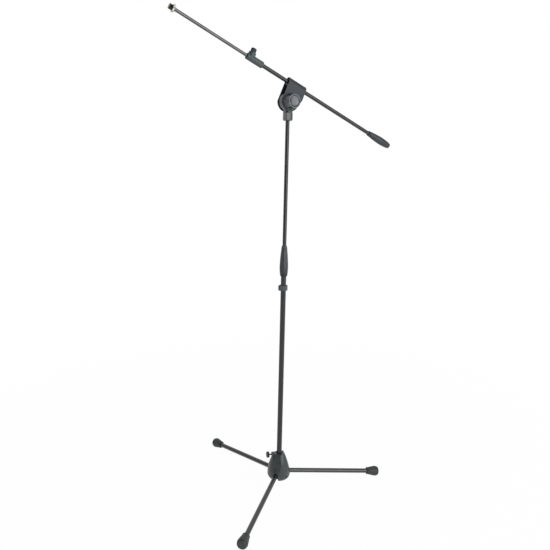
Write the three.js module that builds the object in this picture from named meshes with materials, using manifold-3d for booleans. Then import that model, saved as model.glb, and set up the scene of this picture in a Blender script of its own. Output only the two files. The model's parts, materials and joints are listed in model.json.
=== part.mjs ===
// Boom microphone stand: a folding three-leg base, a two-part mast with a twist clutch,
// a tilting clamp head and a telescopic boom. Millimetres, +Z up. Everything is built about
// the mast axis with the floor at zero, and the finished stand is centred on its own footprint.
import * as THREE from 'three';
import { mergeVertices } from 'three/addons/utils/BufferGeometryUtils.js';
import Module from 'manifold-3d';

const wasm = await Module();
wasm.setup();

// Fits and roundness
const clearance = 0.3; // gap kept between neighbouring pieces
const roundSides = 20; // sides of an ordinary round piece
const holeSides = 12; // sides of a small screw or pin hole
const hubSides = 36; // sides of the hub casting
const fluteSides = 16;
const outlineSteps = 9; // straight steps in a curved outline
const overcut = 20; // how far a cutting tool runs past what it cuts
const lap = 2; // how far two joined shapes run into each other

// Mast tubes
const upperTubeRadius = 6.5;
const upperTubeWall = 1.2;
const upperTubeLength = 811;
const upperGuideRoom = 1.25; // between the two tubes, filled by the guide
const upperGuideFlange = 14;
const upperGuideSpigot = 18;
const lowerTubeWall = 1.25;
const lowerTubeAboveHub = 2; // lower tube's end above the hub's underside
const lowerPlugFlange = 2.7;
const lowerPlugSpigot = 15;

// Hub casting
const hubBottom = 28;
const hubTop = 128;
const hubBellyHeight = 54;
const hubBellyRadius = 41;
const hubTuck = 13; // belly radius less the radius at the underside
const hubRimWall = 10.3; // casting around the sleeve at the rim
const hubWall = 5;
const hubCoreWall = 4.2; // casting around the mast below the sleeve
const hubCrown = 32; // solid casting above the pockets
const legSlotPlay = 0.5; // each side of the leg tube
const legSlotBack = 2; // casting between a leg slot and the core
const slotCheek = 4; // casting left each side of a leg slot
const fluteRadius = 11;
const fluteDepth = 3;
const fluteRise = 18; // foot of a flute above the belly
const sleeveLength = 19;
const sleeveWall = 2.1;

// Hub clamping screw
const screwRadius = 2.5;
const hubScrewAzimuth = 162.3; // degrees
const hubScrewBelowRim = 3.5;
const hubBossRadius = 7.5;
const hubBossProud = 6.5; // past the rim
const hubKnobRadius = 10.5;
const hubKnobGap = 8.5; // thread showing between boss and knob
const hubKnobThickness = 9;

// Legs and feet, measured along the leg axis from the mast axis
const legCount = 3;
const firstLegAzimuth = -17.7; // degrees
const legAxisHeight = 60; // where the leg axes meet the mast axis
const legTubeRadius = 8;
const legTubeWall = 1.5;
const footEnd = 387;
const footLength = 52;
const footNeckWall = 5.7;
const footFlare = 4.7; // widest radius less the neck's
const footBandLength = 12; // widest stretch of the foot
const footBandLead = 2; // slope up to the band
const footBandStep = 1.5;
const footDomeLength = 8;
const footSocketFloor = 11; // rubber left past the end of the leg tube
const footPadDepth = 0.6; // rubber taken off where the foot meets the floor
const knuckleWidth = 15;
const knuckleNeck = 11; // from the pin to the end of the leg tube
const knuckleSpigotLength = 17;
const knuckleEyeRadius = 6;
const pinBelowLegAxis = 7.5;
const pinRadius = 2.5;
const pinEndDepth = 14; // pin's ends inside the hub's widest radius

// Twist clutch
const clutchBottom = 775;
const clutchFootHeight = 9.7;
const clutchFootWall = 1.4;
const clutchFootStep = 2.3; // taken off the foot's lower edge
const clutchSleeveWall = 2.1;
const clutchSleeveHeight = 63;
const clutchHoodHeight = 16; // grip and cap above the collet's cone
const clutchGripWall = 3.2; // at its widest
const clutchGripLowWall = 1.5;
const clutchGripTopWall = 3;
const clutchCapHeight = 6.7;
const clutchCapWall = 2.6;
const clutchCapStep = 1.2;
const colletSeatDepth = 10; // collet length held inside the clutch sleeve
const colletConeHeight = 25;
const colletTipWall = 1.9;
const colletShoulderStep = 0.2; // shoulder inside the clutch sleeve's radius
const colletSlitWidth = 1.2;
const colletSlits = 4;

// Cable clip on the lower tube
const clipBelowClutch = 30;
const clipHeight = 18;
const clipAzimuth = 155; // degrees
const clipWall = 4.2;
const clipWebWall = 1.2; // between the mast bore and the cable channel
const cableChannelRadius = 3.15;
const clipHookWall = 2.3;
const cableMouthWidth = 4.4;

// Telescopic boom, measured along the boom from the pivot towards the microphone end
const rodRadius = 4.8;
const rodWall = 1;
const rodLength = 559;
const rodReach = 268.1; // rod showing past the boom tube
const rodPlay = 0.25; // inside the boom tube
const rodPlugFlange = 2.4;
const rodPlugSpigot = 14;
const boomTubeWall = 1.2;
const boomTubeEnd = 164.7;
const boomTubeLength = 596.4;
const gripTubeDepth = 95.5; // grip over the tube
const gripFloor = 8; // grip past the tube's end
const gripWall = 6.15; // at its widest
const gripMouthWall = 2.05;
const gripTailWall = 2.65;
const gripTailStep = 3;
const gripTailSlope = 2; // length of the step
const collarTubeDepth = 36.6; // collar over the tube
const collarNose = 22; // collar past the tube's end
const collarWall = 3.75;
const collarScrewPastTube = 7.6;
const collarBossSpread = 2.9; // boss radius past the collar's
const collarBossRise = 6.9; // boss height past the collar's radius
const collarKnobGap = 1;
const collarKnobRadius = 8.7;
const collarKnobThickness = 11.6;
const tipRingWall = 2; // past the rod's radius
const tipRingLength = 3.4;
const tipSpigotLength = 20;
const lockNutRadius = 11.7;
const lockNutThickness = 5.4;
const lockNutRecess = 0.6; // hollow in the nut's face that the adapter starts in
const adapterRadius = 7.94; // five-eighths inch thread
const adapterReach = 10; // past the lock nut's face

// Clamp head
const pivotHeight = 1341;
const boomElevation = 23.73; // degrees
const boomOffset = 54; // boom axis above the pivot, square to the boom
const jointRadius = 31;
const earInset = 3; // ear's radius inside the joint's
const plateThickness = 2.5;
const linerWall = 2.65; // beside the boom tube
const frictionDiscThickness = 1.5;
const frictionDiscInset = 1; // disc's radius inside the ear's
const socketHeight = 25;
const socketSides = 8;
const socketStep = 2.8; // socket's corners past the neck
const socketChamfer = 3;
const socketShoulder = 1; // slope from the socket to the neck
const neckWall = 6.7; // around the upper tube's bore
const neckLength = 2.7; // from the socket to the joint's round
const tubeSocketDepth = 8.8; // upper tube inside the socket
const spigotThreadRadius = 4.76; // three-eighths inch thread
const spigotThreadLength = 11;
const spigotFlange = 2;
const spigotDepth = 25; // length pressed into the upper tube

// Boom bracket, measured along the boom from the pivot
const bracketOverhang = 7.3; // grip-side edge past the joint's radius
const bracketCornerHeight = 22; // where the grip-side edge turns in towards the round end
const linerEndSetback = 1.6;
const linerDepth = 10; // liner below the boom axis
const clampBoltRadius = 4;
const clampBoltHeadFlats = 13;
const clampBoltHeadHeight = 5.2;
const clampBoltEndGap = 1; // between the bolt's end and the knob's socket floor
const washerRadius = 12;
const washerThickness = 1.5;
const knobFaceRadius = 21.5;
const knobFlangeWidth = 4;
const knobFlangeHeight = 4;
const knobFlangeSlope = 1.5;
const knobSideFoot = 2; // side's radius at the flange past the face's
const knobEdgeBreak = 1.5;
const knobRimWidth = 3;
const knobHeight = 27;
const knobDishDepth = 3;
const knobCrown = 4.7; // plastic between the insert and the dish
const knobInsertRadius = 7;

// Colours and finishes
const finishes = {
  casting: { color: 0x3f4849, roughness: 0.55, metalness: 0.1 },
  satinBlack: { color: 0x2c3031, roughness: 0.35, metalness: 0.4 },
  plastic: { color: 0x33393c, roughness: 0.6, metalness: 0 },
  palePlastic: { color: 0x9a9a92, roughness: 0.6, metalness: 0 },
  rubber: { color: 0x2e3236, roughness: 0.85, metalness: 0 },
  steel: { color: 0xb9b9b4, roughness: 0.35, metalness: 1 },
  blackSteel: { color: 0x303030, roughness: 0.4, metalness: 0.8 },
  brass: { color: 0xb08d4a, roughness: 0.4, metalness: 1 },
};

const materials = {};
for (const [name, finish] of Object.entries(finishes)) {
  materials[name] = new THREE.MeshStandardMaterial(finish);
}

// ---- Solids: closed geometries in, closed geometries out ----

// Shared corners are merged, slivers on the axis dropped, and faces turned outwards.
function toSolid(geometry) {
  const bare = geometry.clone();
  bare.deleteAttribute('normal');
  bare.deleteAttribute('uv');
  const merged = mergeVertices(bare, 1e-4);
  const corners = merged.attributes.position.array;
  const triangles = [];
  let volume = 0;
  for (let i = 0; i < merged.index.count; i += 3) {
    const [a, b, c] = merged.index.array.slice(i, i + 3);
    if (a !== b && b !== c && c !== a) {
      triangles.push(a, b, c);
      const [pa, pb, pc] = [a, b, c].map((k) => new THREE.Vector3().fromArray(corners, 3 * k));
      volume += pa.dot(pb.cross(pc));
    }
  }
  if (volume < 0) {
    triangles.reverse();
  }
  const triVerts = Uint32Array.from(triangles);
  return new wasm.Manifold(new wasm.Mesh({ numProp: 3, vertProperties: corners, triVerts }));
}

function toGeometry(solid) {
  const mesh = solid.getMesh();
  const geometry = new THREE.BufferGeometry();
  geometry.setAttribute('position', new THREE.BufferAttribute(mesh.vertProperties, 3));
  geometry.setIndex(new THREE.BufferAttribute(mesh.triVerts, 1));
  return geometry;
}

function cut(body, ...tools) {
  return toGeometry(tools.reduce((solid, tool) => solid.subtract(toSolid(tool)), toSolid(body)));
}

function join(body, ...others) {
  return toGeometry(others.reduce((solid, other) => solid.add(toSolid(other)), toSolid(body)));
}

function overlapOf(first, second) {
  return toGeometry(toSolid(first).intersect(toSolid(second)));
}

// A profile of [radius, height] points turned about +Z.
function turned(profile, sides = roundSides) {
  const points = profile.map(([radius, height]) => new THREE.Vector2(radius, height));
  return new THREE.LatheGeometry(points, sides).rotateX(Math.PI / 2);
}

function bar(radius, from, to, sides = roundSides) {
  return turned([[0, from], [radius, from], [radius, to], [0, to]], sides);
}

function pipe(outer, inner, from, to, sides = roundSides) {
  const profile = [[inner, from], [outer, from], [outer, to], [inner, to], [inner, from]];
  return turned(profile, sides);
}

function block(x, y, z) {
  const geometry = new THREE.BoxGeometry(x[1] - x[0], y[1] - y[0], z[1] - z[0]);
  return geometry.translate((x[0] + x[1]) / 2, (y[0] + y[1]) / 2, (z[0] + z[1]) / 2);
}

// A shape drawn in x and z, made as thick as asked and centred on y = 0.
function slab(shape, thickness) {
  const options = { depth: thickness, bevelEnabled: false, curveSegments: roundSides / 2 };
  const geometry = new THREE.ExtrudeGeometry(shape, options);
  return geometry.rotateX(Math.PI / 2).translate(0, thickness / 2, 0);
}

// Turned pieces are made along +Z and laid along +X or +Y.
const alongX = (geometry) => geometry.rotateY(Math.PI / 2);
const alongY = (geometry) => geometry.rotateX(-Math.PI / 2);

function addPiece(parent, name, geometry, material) {
  const mesh = new THREE.Mesh(toGeometry(toSolid(geometry)), material);
  mesh.name = name;
  parent.add(mesh);
}

const degrees = (angle) => THREE.MathUtils.degToRad(angle);

// ---- Radii and heights that several pieces share ----

const lowerTubeInner = upperTubeRadius + upperGuideRoom;
const lowerTubeRadius = lowerTubeInner + lowerTubeWall;
const upperTubeInner = upperTubeRadius - upperTubeWall;
const upperTubeBore = upperTubeRadius + clearance;
const mastBore = lowerTubeRadius + clearance;
const pinBore = pinRadius + clearance;
const screwBore = screwRadius + clearance;
const legBore = legTubeRadius + clearance;
const legSlotHalfWidth = legTubeRadius + legSlotPlay;
const sleeveSeat = mastBore + sleeveWall + clearance;
const hubCoreRadius = mastBore + hubCoreWall;
const hubRimRadius = sleeveSeat + hubRimWall;
const hubBottomRadius = hubBellyRadius - hubTuck;
const legSlotInner = hubCoreRadius + legSlotBack;
const pinAlongLeg = legSlotInner + legSlotPlay + knuckleEyeRadius;
const pinHalfLength = hubBellyRadius - pinEndDepth;
const legTubeStart = pinAlongLeg + knuckleNeck;
const footNeckRadius = legBore + footNeckWall;
const footRadius = footNeckRadius + footFlare;
const rodBore = rodRadius + clearance;
const boomTubeInner = rodRadius + rodPlay;
const boomTubeRadius = boomTubeInner + boomTubeWall;
const boomTubeBore = boomTubeRadius + clearance;
const plateInside = boomTubeBore + linerWall + clearance;
const plateSpan = 2 * (plateInside + plateThickness); // over both bracket plates
const earRadius = jointRadius - earInset;
const neckRadius = upperTubeBore + neckWall;
const socketTop = pivotHeight - jointRadius - clearance - neckLength;
const socketBottom = socketTop - socketHeight;

// ---- Placing frames ----

// The foot's widest band stands on the floor, which sets how steeply the leg runs down.
const footBandMiddle = footEnd - footDomeLength - footBandLength / 2;
const footBandAxisHeight = footRadius - footPadDepth;
const legSlope = Math.asin((legAxisHeight - footBandAxisHeight) / footBandMiddle);

// Leg frame: x runs out along the leg axis, y is tangential, z is up from the leg.
function legFrame(index) {
  const azimuth = degrees(firstLegAzimuth) + (index * 2 * Math.PI) / legCount;
  const frame = new THREE.Group();
  frame.position.z = legAxisHeight;
  frame.rotation.set(0, legSlope, azimuth, 'ZYX');
  frame.updateMatrix();
  return frame;
}

// Hub screw frame: x runs out along the screw.
function hubScrewFrame() {
  const frame = new THREE.Group();
  frame.position.z = hubTop - hubScrewBelowRim;
  frame.rotation.z = degrees(hubScrewAzimuth);
  frame.updateMatrix();
  return frame;
}

// Boom frame: x runs towards the microphone end, y towards the knob, z square to the boom.
function boomFrame() {
  const frame = new THREE.Group();
  frame.position.z = pivotHeight;
  frame.rotation.set(0, degrees(boomElevation), Math.PI);
  return frame;
}

// ---- Base ----

const hubBossReach = hubRimRadius + hubBossProud;

function hubRadiusAt(height) {
  if (height < hubBellyHeight) {
    const below = (hubBellyHeight - height) / (hubBellyHeight - hubBottom);
    const swell = Math.sqrt(Math.max(0, 1 - below * below));
    return hubBottomRadius + (hubBellyRadius - hubBottomRadius) * swell;
  }
  const above = (height - hubBellyHeight) / (hubTop - hubBellyHeight);
  return hubRimRadius + (hubBellyRadius - hubRimRadius) * Math.cos((above * Math.PI) / 2);
}

function hubProfile(bottom, top, inset, steps) {
  const profile = [[0, bottom]];
  for (let i = 0; i <= steps; i += 1) {
    const height = bottom + ((top - bottom) * i) / steps;
    profile.push([hubRadiusAt(height) - inset, height]);
  }
  profile.push([0, top]);
  return profile;
}

function legSlot() {
  const sides = [-legSlotHalfWidth, legSlotHalfWidth];
  return block([legSlotInner, hubBellyRadius + overcut], sides, [-legAxisHeight - overcut, legBore]);
}

// Casting beside a leg slot, left standing when the pockets are cut.
function slotCheeks() {
  const width = legSlotHalfWidth + slotCheek;
  const roof = legBore + slotCheek;
  return block([0, hubBellyRadius + overcut], [-width, width], [-legAxisHeight - overcut, roof]);
}

function pinHole() {
  const length = hubBellyRadius + overcut;
  return alongY(bar(pinBore, -length, length, holeSides)).translate(pinAlongLeg, 0, -pinBelowLegAxis);
}

// A shallow hollow running up the casting from each leg to the rim.
function flute(index) {
  const offset = fluteRadius - fluteDepth;
  const foot = hubBellyHeight + fluteRise;
  const low = new THREE.Vector3(hubRadiusAt(foot) + offset, 0, foot);
  const high = new THREE.Vector3(hubRimRadius + offset, 0, hubTop);
  const length = low.distanceTo(high) + overcut;
  const lean = Math.atan2(high.x - low.x, high.z - low.z);
  const azimuth = degrees(firstLegAzimuth) + (index * 2 * Math.PI) / legCount;
  const tool = bar(fluteRadius, 0, length, fluteSides).rotateY(lean).translate(low.x, 0, low.z);
  return tool.rotateZ(azimuth);
}

function hubCasting() {
  const screwFrame = hubScrewFrame();
  const boss = alongX(bar(hubBossRadius, 0, hubBossReach)).applyMatrix4(screwFrame.matrix);
  const pocketSteps = Math.ceil(outlineSteps / 3) + 1;
  const pockets = turned(hubProfile(hubBottom, hubTop - hubCrown, hubWall, pocketSteps), hubSides);
  let pocketSolid = cut(pockets, bar(hubCoreRadius, 0, hubTop));
  let casting = turned(hubProfile(hubBottom, hubTop, 0, outlineSteps), hubSides);
  for (let i = 0; i < legCount; i += 1) {
    pocketSolid = cut(pocketSolid, slotCheeks().applyMatrix4(legFrame(i).matrix));
    casting = cut(casting, flute(i));
  }
  casting = cut(join(casting, boss), pocketSolid);
  for (let i = 0; i < legCount; i += 1) {
    const { matrix } = legFrame(i);
    casting = cut(casting, legSlot().applyMatrix4(matrix), pinHole().applyMatrix4(matrix));
  }
  const sleeveFloor = hubTop - sleeveLength - clearance;
  const screwTool = alongX(bar(screwBore, 0, hubBossReach + overcut, holeSides));
  const screwHole = screwTool.applyMatrix4(screwFrame.matrix);
  const bore = bar(mastBore, 0, hubTop + overcut);
  return cut(casting, bore, bar(sleeveSeat, sleeveFloor, hubTop + overcut), screwHole);
}

function hubSleeve() {
  const screwTool = alongX(bar(screwBore, 0, hubBossReach, holeSides));
  const screwHole = screwTool.applyMatrix4(hubScrewFrame().matrix);
  return cut(pipe(mastBore + sleeveWall, mastBore, hubTop - sleeveLength, hubTop), screwHole);
}

function addHubScrew(parent) {
  const frame = hubScrewFrame();
  parent.add(frame);
  const knobStart = hubBossReach + hubKnobGap;
  const socketFloor = knobStart + (2 * hubKnobThickness) / 3;
  const stud = alongX(bar(screwRadius, mastBore, socketFloor - clearance));
  const head = bar(hubKnobRadius, knobStart, knobStart + hubKnobThickness);
  const knob = alongX(cut(head, bar(screwBore, knobStart - overcut, socketFloor)));
  addPiece(frame, 'hub_screw_stud', stud, materials.steel);
  addPiece(frame, 'hub_screw_knob', knob, materials.plastic);
}

// ---- Legs ----

function kneeShape() {
  const eye = new THREE.Vector2(pinAlongLeg, -pinBelowLegAxis);
  const flankAngle = degrees(120);
  const half = legTubeRadius;
  const shape = new THREE.Shape();
  shape.moveTo(legTubeStart - clearance, -half);
  shape.lineTo(legTubeStart - clearance, half);
  shape.lineTo(eye.x, half);
  shape.absarc(eye.x, eye.y, knuckleEyeRadius, flankAngle, degrees(270), false);
  return shape;
}

function legKnuckle() {
  const spigotRadius = legTubeRadius - legTubeWall - clearance;
  const spigotEnd = legTubeStart + knuckleSpigotLength;
  const spigot = alongX(bar(spigotRadius, legTubeStart - lap, spigotEnd));
  const pinEye = alongY(bar(pinBore, -knuckleWidth, knuckleWidth));
  pinEye.translate(pinAlongLeg, 0, -pinBelowLegAxis);
  return cut(join(slab(kneeShape(), knuckleWidth), spigot), pinEye);
}

function legFoot(frame) {
  const start = footEnd - footLength;
  const bandEnd = footEnd - footDomeLength;
  const bandStart = bandEnd - footBandLength;
  const floorOfSocket = footEnd - footSocketFloor;
  const profile = [
    [0, floorOfSocket],
    [legBore, floorOfSocket],
    [legBore, start],
    [footNeckRadius, start],
    [footRadius - footBandStep, bandStart - footBandLead],
    [footRadius, bandStart],
    [footRadius, bandEnd],
  ];
  const domeSteps = 3;
  const domeTurn = Math.PI / 3;
  for (let i = 1; i <= domeSteps; i += 1) {
    const turn = (i / domeSteps) * domeTurn;
    const out = bandEnd + (footDomeLength * Math.sin(turn)) / Math.sin(domeTurn);
    profile.push([footRadius * Math.cos(turn), out]);
  }
  profile.push([0, footEnd]);
  const reach = footEnd + overcut;
  const floor = block([-reach, reach], [-reach, reach], [-legAxisHeight, 0]);
  floor.applyMatrix4(frame.matrix.clone().invert());
  return cut(alongX(turned(profile)), floor);
}

function addLeg(parent, index) {
  const frame = legFrame(index);
  parent.add(frame);
  const name = (piece) => `${piece}_${index + 1}`;
  const tubeEnd = footEnd - footSocketFloor - clearance;
  const tube = alongX(pipe(legTubeRadius, legTubeRadius - legTubeWall, legTubeStart, tubeEnd));
  const pin = alongY(bar(pinRadius, -pinHalfLength, pinHalfLength));
  pin.translate(pinAlongLeg, 0, -pinBelowLegAxis);
  addPiece(frame, name('leg_tube'), tube, materials.satinBlack);
  addPiece(frame, name('leg_knuckle'), legKnuckle(), materials.casting);
  addPiece(frame, name('leg_foot'), legFoot(frame), materials.rubber);
  addPiece(frame, name('leg_pin'), pin, materials.steel);
}

// ---- Mast ----

const sleeveTop = clutchBottom + clutchSleeveHeight;
const lowerTubeTop = sleeveTop - colletSeatDepth;
const colletBottom = lowerTubeTop + clearance;
const colletConeTop = sleeveTop + colletConeHeight;
const clutchTop = colletConeTop + clutchHoodHeight;
const clutchSleeveRadius = mastBore + clutchSleeveWall;
const clutchFootRadius = clutchSleeveRadius + clutchFootWall;
const colletTipRadius = upperTubeBore + colletTipWall;
const upperTubeTop = socketBottom + tubeSocketDepth;
const upperTubeBottom = upperTubeTop - upperTubeLength;

// A plug: a flange over the end of a tube and a spigot inside it, going up or down from `end`.
function tubePlug(end, flangeRadius, flange, spigotRadius, spigot) {
  const seat = end - clearance;
  return turned([
    [0, seat - flange],
    [flangeRadius, seat - flange],
    [flangeRadius, seat],
    [spigotRadius, seat],
    [spigotRadius, end + spigot],
    [0, end + spigot],
  ]);
}

function addLowerMast(parent) {
  const inner = lowerTubeInner - clearance;
  const bottom = hubBottom + lowerTubeAboveHub;
  const tube = pipe(lowerTubeRadius, lowerTubeInner, bottom, lowerTubeTop);
  const plug = tubePlug(bottom, lowerTubeRadius, lowerPlugFlange, inner, lowerPlugSpigot);
  addPiece(parent, 'lower_tube', tube, materials.satinBlack);
  addPiece(parent, 'lower_tube_plug', plug, materials.plastic);
}

// A ring with a hook on one side that a cable is pushed into.
function addCableClip(parent) {
  const ringRadius = mastBore + clipWall;
  const channelAt = mastBore + clipWebWall + cableChannelRadius;
  const hookRadius = cableChannelRadius + clipHookWall;
  const lean = Math.acos((ringRadius - hookRadius) / channelAt);
  const shape = new THREE.Shape();
  shape.absarc(0, 0, ringRadius, lean, 2 * Math.PI - lean, false);
  shape.absarc(channelAt, 0, hookRadius, -lean, lean, false);
  const options = { depth: clipHeight, bevelEnabled: false, curveSegments: roundSides / 2 };
  const ring = new THREE.ExtrudeGeometry(shape, options);
  const mouth = cableMouthWidth / 2;
  const mouthCut = block([channelAt, channelAt + overcut], [-mouth, mouth], [-overcut, overcut * 2]);
  const cableCut = bar(cableChannelRadius, -overcut, 2 * overcut).translate(channelAt, 0, 0);
  const clip = cut(ring, bar(mastBore, -overcut, 2 * overcut), cableCut, mouthCut);
  const bottom = clutchBottom - clipBelowClutch - clipHeight;
  clip.rotateZ(degrees(clipAzimuth)).translate(0, 0, bottom);
  addPiece(parent, 'cable_clip', clip, materials.plastic);
}

function clutchBase() {
  return turned([
    [mastBore, clutchBottom],
    [clutchFootRadius - clutchFootStep, clutchBottom],
    [clutchFootRadius, clutchBottom + 0.6 * clutchFootHeight],
    [clutchFootRadius, clutchBottom + clutchFootHeight],
    [clutchSleeveRadius, clutchBottom + clutchFootHeight],
    [clutchSleeveRadius, sleeveTop],
    [mastBore, sleeveTop],
    [mastBore, clutchBottom],
  ]);
}

function clutchCollet() {
  const seatRadius = lowerTubeRadius;
  let collet = turned([
    [upperTubeBore, colletBottom],
    [seatRadius, colletBottom],
    [seatRadius, sleeveTop + clearance],
    [clutchSleeveRadius - colletShoulderStep, sleeveTop + clearance],
    [colletTipRadius, colletConeTop],
    [upperTubeBore, colletConeTop],
    [upperTubeBore, colletBottom],
  ]);
  const half = colletSlitWidth / 2;
  const slitFloor = sleeveTop - colletSeatDepth / 2;
  for (let i = 0; i < colletSlits; i += 1) {
    const slit = block([0, clutchSleeveRadius + overcut], [-half, half], [slitFloor, clutchTop]);
    collet = cut(collet, slit.rotateZ(((i + 0.5) * 2 * Math.PI) / colletSlits));
  }
  return collet;
}

function clutchGrip() {
  const bottom = clutchBottom + clutchFootHeight + clearance;
  const top = clutchTop - clutchCapHeight - clearance;
  const length = top - bottom;
  const sleeveRoom = clutchSleeveRadius + clearance;
  const widest = sleeveRoom + clutchGripWall;
  const narrowest = upperTubeBore + clutchGripTopWall;
  const outline = new THREE.SplineCurve([
    new THREE.Vector2(sleeveRoom + clutchGripLowWall, bottom),
    new THREE.Vector2(widest, bottom + 0.24 * length),
    new THREE.Vector2(0.6 * widest + 0.4 * narrowest, bottom + 0.68 * length),
    new THREE.Vector2(narrowest, top),
  ]);
  const outside = outline.getPoints(outlineSteps).map((point) => [point.x, point.y]);
  const tipRoom = colletTipRadius + clearance;
  return turned([
    [sleeveRoom, bottom],
    ...outside,
    [upperTubeBore, top],
    [upperTubeBore, colletConeTop + clearance],
    [tipRoom, colletConeTop + clearance],
    [sleeveRoom, sleeveTop],
    [sleeveRoom, bottom],
  ]);
}

function clutchCap() {
  const bottom = clutchTop - clutchCapHeight;
  const capRadius = upperTubeBore + clutchCapWall;
  return turned([
    [upperTubeBore, bottom],
    [capRadius, bottom],
    [capRadius, bottom + 0.4 * clutchCapHeight],
    [capRadius - clutchCapStep, clutchTop],
    [upperTubeBore, clutchTop],
    [upperTubeBore, bottom],
  ]);
}

function addClutch(parent) {
  addPiece(parent, 'clutch_base', clutchBase(), materials.plastic);
  addPiece(parent, 'clutch_collet', clutchCollet(), materials.palePlastic);
  addPiece(parent, 'clutch_grip', clutchGrip(), materials.plastic);
  addPiece(parent, 'clutch_cap', clutchCap(), materials.plastic);
}

function addUpperMast(parent) {
  const tube = pipe(upperTubeRadius, upperTubeInner, upperTubeBottom, upperTubeTop);
  const spigotRadius = upperTubeInner - clearance;
  const guideRadius = lowerTubeInner - clearance;
  const guide = tubePlug(upperTubeBottom, guideRadius, upperGuideFlange, spigotRadius, upperGuideSpigot);
  const flangeBottom = upperTubeTop + clearance;
  const flangeTop = flangeBottom + spigotFlange;
  const spigot = turned([
    [0, upperTubeTop - spigotDepth],
    [spigotRadius, upperTubeTop - spigotDepth],
    [spigotRadius, flangeBottom],
    [upperTubeRadius, flangeBottom],
    [upperTubeRadius, flangeTop],
    [spigotThreadRadius, flangeTop],
    [spigotThreadRadius, flangeTop + spigotThreadLength],
    [0, flangeTop + spigotThreadLength],
  ]);
  addPiece(parent, 'upper_tube', tube, materials.satinBlack);
  addPiece(parent, 'upper_tube_guide', guide, materials.plastic);
  addPiece(parent, 'top_spigot', spigot, materials.steel);
}

// ---- Clamp head ----

const earHalf = plateInside - frictionDiscThickness - 2 * clearance;
const boltBore = clampBoltRadius + clearance;

function headBody() {
  const neckTop = socketTop + neckLength;
  const socketCornerRadius = neckRadius + socketStep;
  const socket = turned([
    [0, socketBottom],
    [socketCornerRadius - socketChamfer, socketBottom],
    [socketCornerRadius, socketBottom + socketChamfer],
    [socketCornerRadius, socketTop],
    [neckRadius, socketTop + socketShoulder],
    [0, socketTop + socketShoulder],
  ], socketSides);
  const neck = bar(neckRadius, socketTop, neckTop);
  const ear = new THREE.Shape();
  const shoulder = Math.asin(neckRadius / earRadius);
  ear.absarc(0, 0, earRadius, -Math.PI / 2 + shoulder, (3 * Math.PI) / 2 - shoulder, false);
  ear.lineTo(-neckRadius, socketTop - pivotHeight);
  ear.lineTo(neckRadius, socketTop - pivotHeight);
  const earSlab = slab(ear, 2 * earHalf).translate(0, 0, pivotHeight);
  const flangeTop = upperTubeTop + 2 * clearance + spigotFlange;
  const tubeBore = bar(upperTubeBore, 0, flangeTop);
  const threadBore = bar(spigotThreadRadius + clearance, 0, flangeTop + spigotThreadLength);
  const boltHole = alongY(bar(boltBore, -overcut, overcut)).translate(0, 0, pivotHeight);
  return cut(join(socket, neck, earSlab), tubeBore, threadBore, boltHole);
}

function addHead(parent) {
  addPiece(parent, 'head_body', headBody(), materials.casting);
  for (const [name, side] of [['friction_disc_front', -1], ['friction_disc_back', 1]]) {
    const near = earHalf + clearance;
    const radius = earRadius - frictionDiscInset;
    const disc = alongY(pipe(radius, boltBore, near, near + frictionDiscThickness));
    disc.scale(1, side, 1).translate(0, 0, pivotHeight);
    addPiece(parent, name, disc, materials.palePlastic);
  }
}

const bracketTipEdge = jointRadius;
const bracketGripEdge = jointRadius + bracketOverhang;
const washerStart = plateSpan / 2 + clearance;
const knobStart = washerStart + washerThickness + clearance;
const knobInsertLength = knobHeight - knobDishDepth - knobCrown;
const knobSocketFloor = knobStart + knobInsertLength + 2 * clearance;

// The side outline of the bracket: square over the boom, round about the pivot.
function bracketShape() {
  const top = boomOffset + plateSpan / 2;
  const corner = new THREE.Vector2(-bracketGripEdge, bracketCornerHeight);
  const tangent = corner.angle() + Math.acos(jointRadius / corner.length());
  const shape = new THREE.Shape();
  shape.moveTo(bracketTipEdge, 0);
  shape.lineTo(bracketTipEdge, top);
  shape.lineTo(-bracketGripEdge, top);
  shape.lineTo(corner.x, corner.y);
  shape.absarc(0, 0, jointRadius, tangent, 2 * Math.PI, false);
  return shape;
}

// A round-backed channel along the boom: a bar about the boom axis and a block below it.
function channel(halfWidth, from, to, bottom) {
  const round = alongX(bar(halfWidth, from, to)).translate(0, 0, boomOffset);
  return join(round, block([from, to], [-halfWidth, halfWidth], [bottom, boomOffset]));
}

function boomBracket() {
  const ends = [-bracketGripEdge - overcut, bracketTipEdge + overcut];
  const outside = channel(plateSpan / 2, ...ends, -jointRadius - overcut);
  const inside = channel(plateInside, ...ends, -jointRadius - 2 * overcut);
  const boltHole = alongY(bar(boltBore, -overcut, overcut));
  return cut(overlapOf(slab(bracketShape(), plateSpan), outside), inside, boltHole);
}

function bracketLiner() {
  const from = -bracketGripEdge + linerEndSetback;
  const to = bracketTipEdge - linerEndSetback;
  const body = channel(plateInside - clearance, from, to, boomOffset - linerDepth);
  const bore = alongX(bar(boomTubeBore, from - overcut, to + overcut));
  return cut(body, bore.translate(0, 0, boomOffset));
}

function clampBolt() {
  const seat = -plateSpan / 2 - clearance;
  const headRadius = clampBoltHeadFlats / Math.sqrt(3);
  const head = bar(headRadius, seat - clampBoltHeadHeight, seat, 6);
  return alongY(join(head, bar(clampBoltRadius, seat - lap, knobSocketFloor - clampBoltEndGap)));
}

function clampKnob() {
  const face = knobStart + knobHeight;
  const insertRoom = knobInsertRadius + clearance;
  const flangeRadius = knobFaceRadius + knobFlangeWidth;
  const flangeTop = knobStart + knobFlangeHeight;
  return alongY(turned([
    [0, knobSocketFloor],
    [insertRoom, knobSocketFloor],
    [insertRoom, knobStart],
    [flangeRadius, knobStart],
    [flangeRadius, flangeTop],
    [knobFaceRadius + knobSideFoot, flangeTop + knobFlangeSlope],
    [knobFaceRadius, face - knobEdgeBreak],
    [knobFaceRadius - knobEdgeBreak, face],
    [knobFaceRadius - knobRimWidth, face],
    [knobFaceRadius / 2, face - 0.8 * knobDishDepth],
    [0, face - knobDishDepth],
  ]));
}

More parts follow.
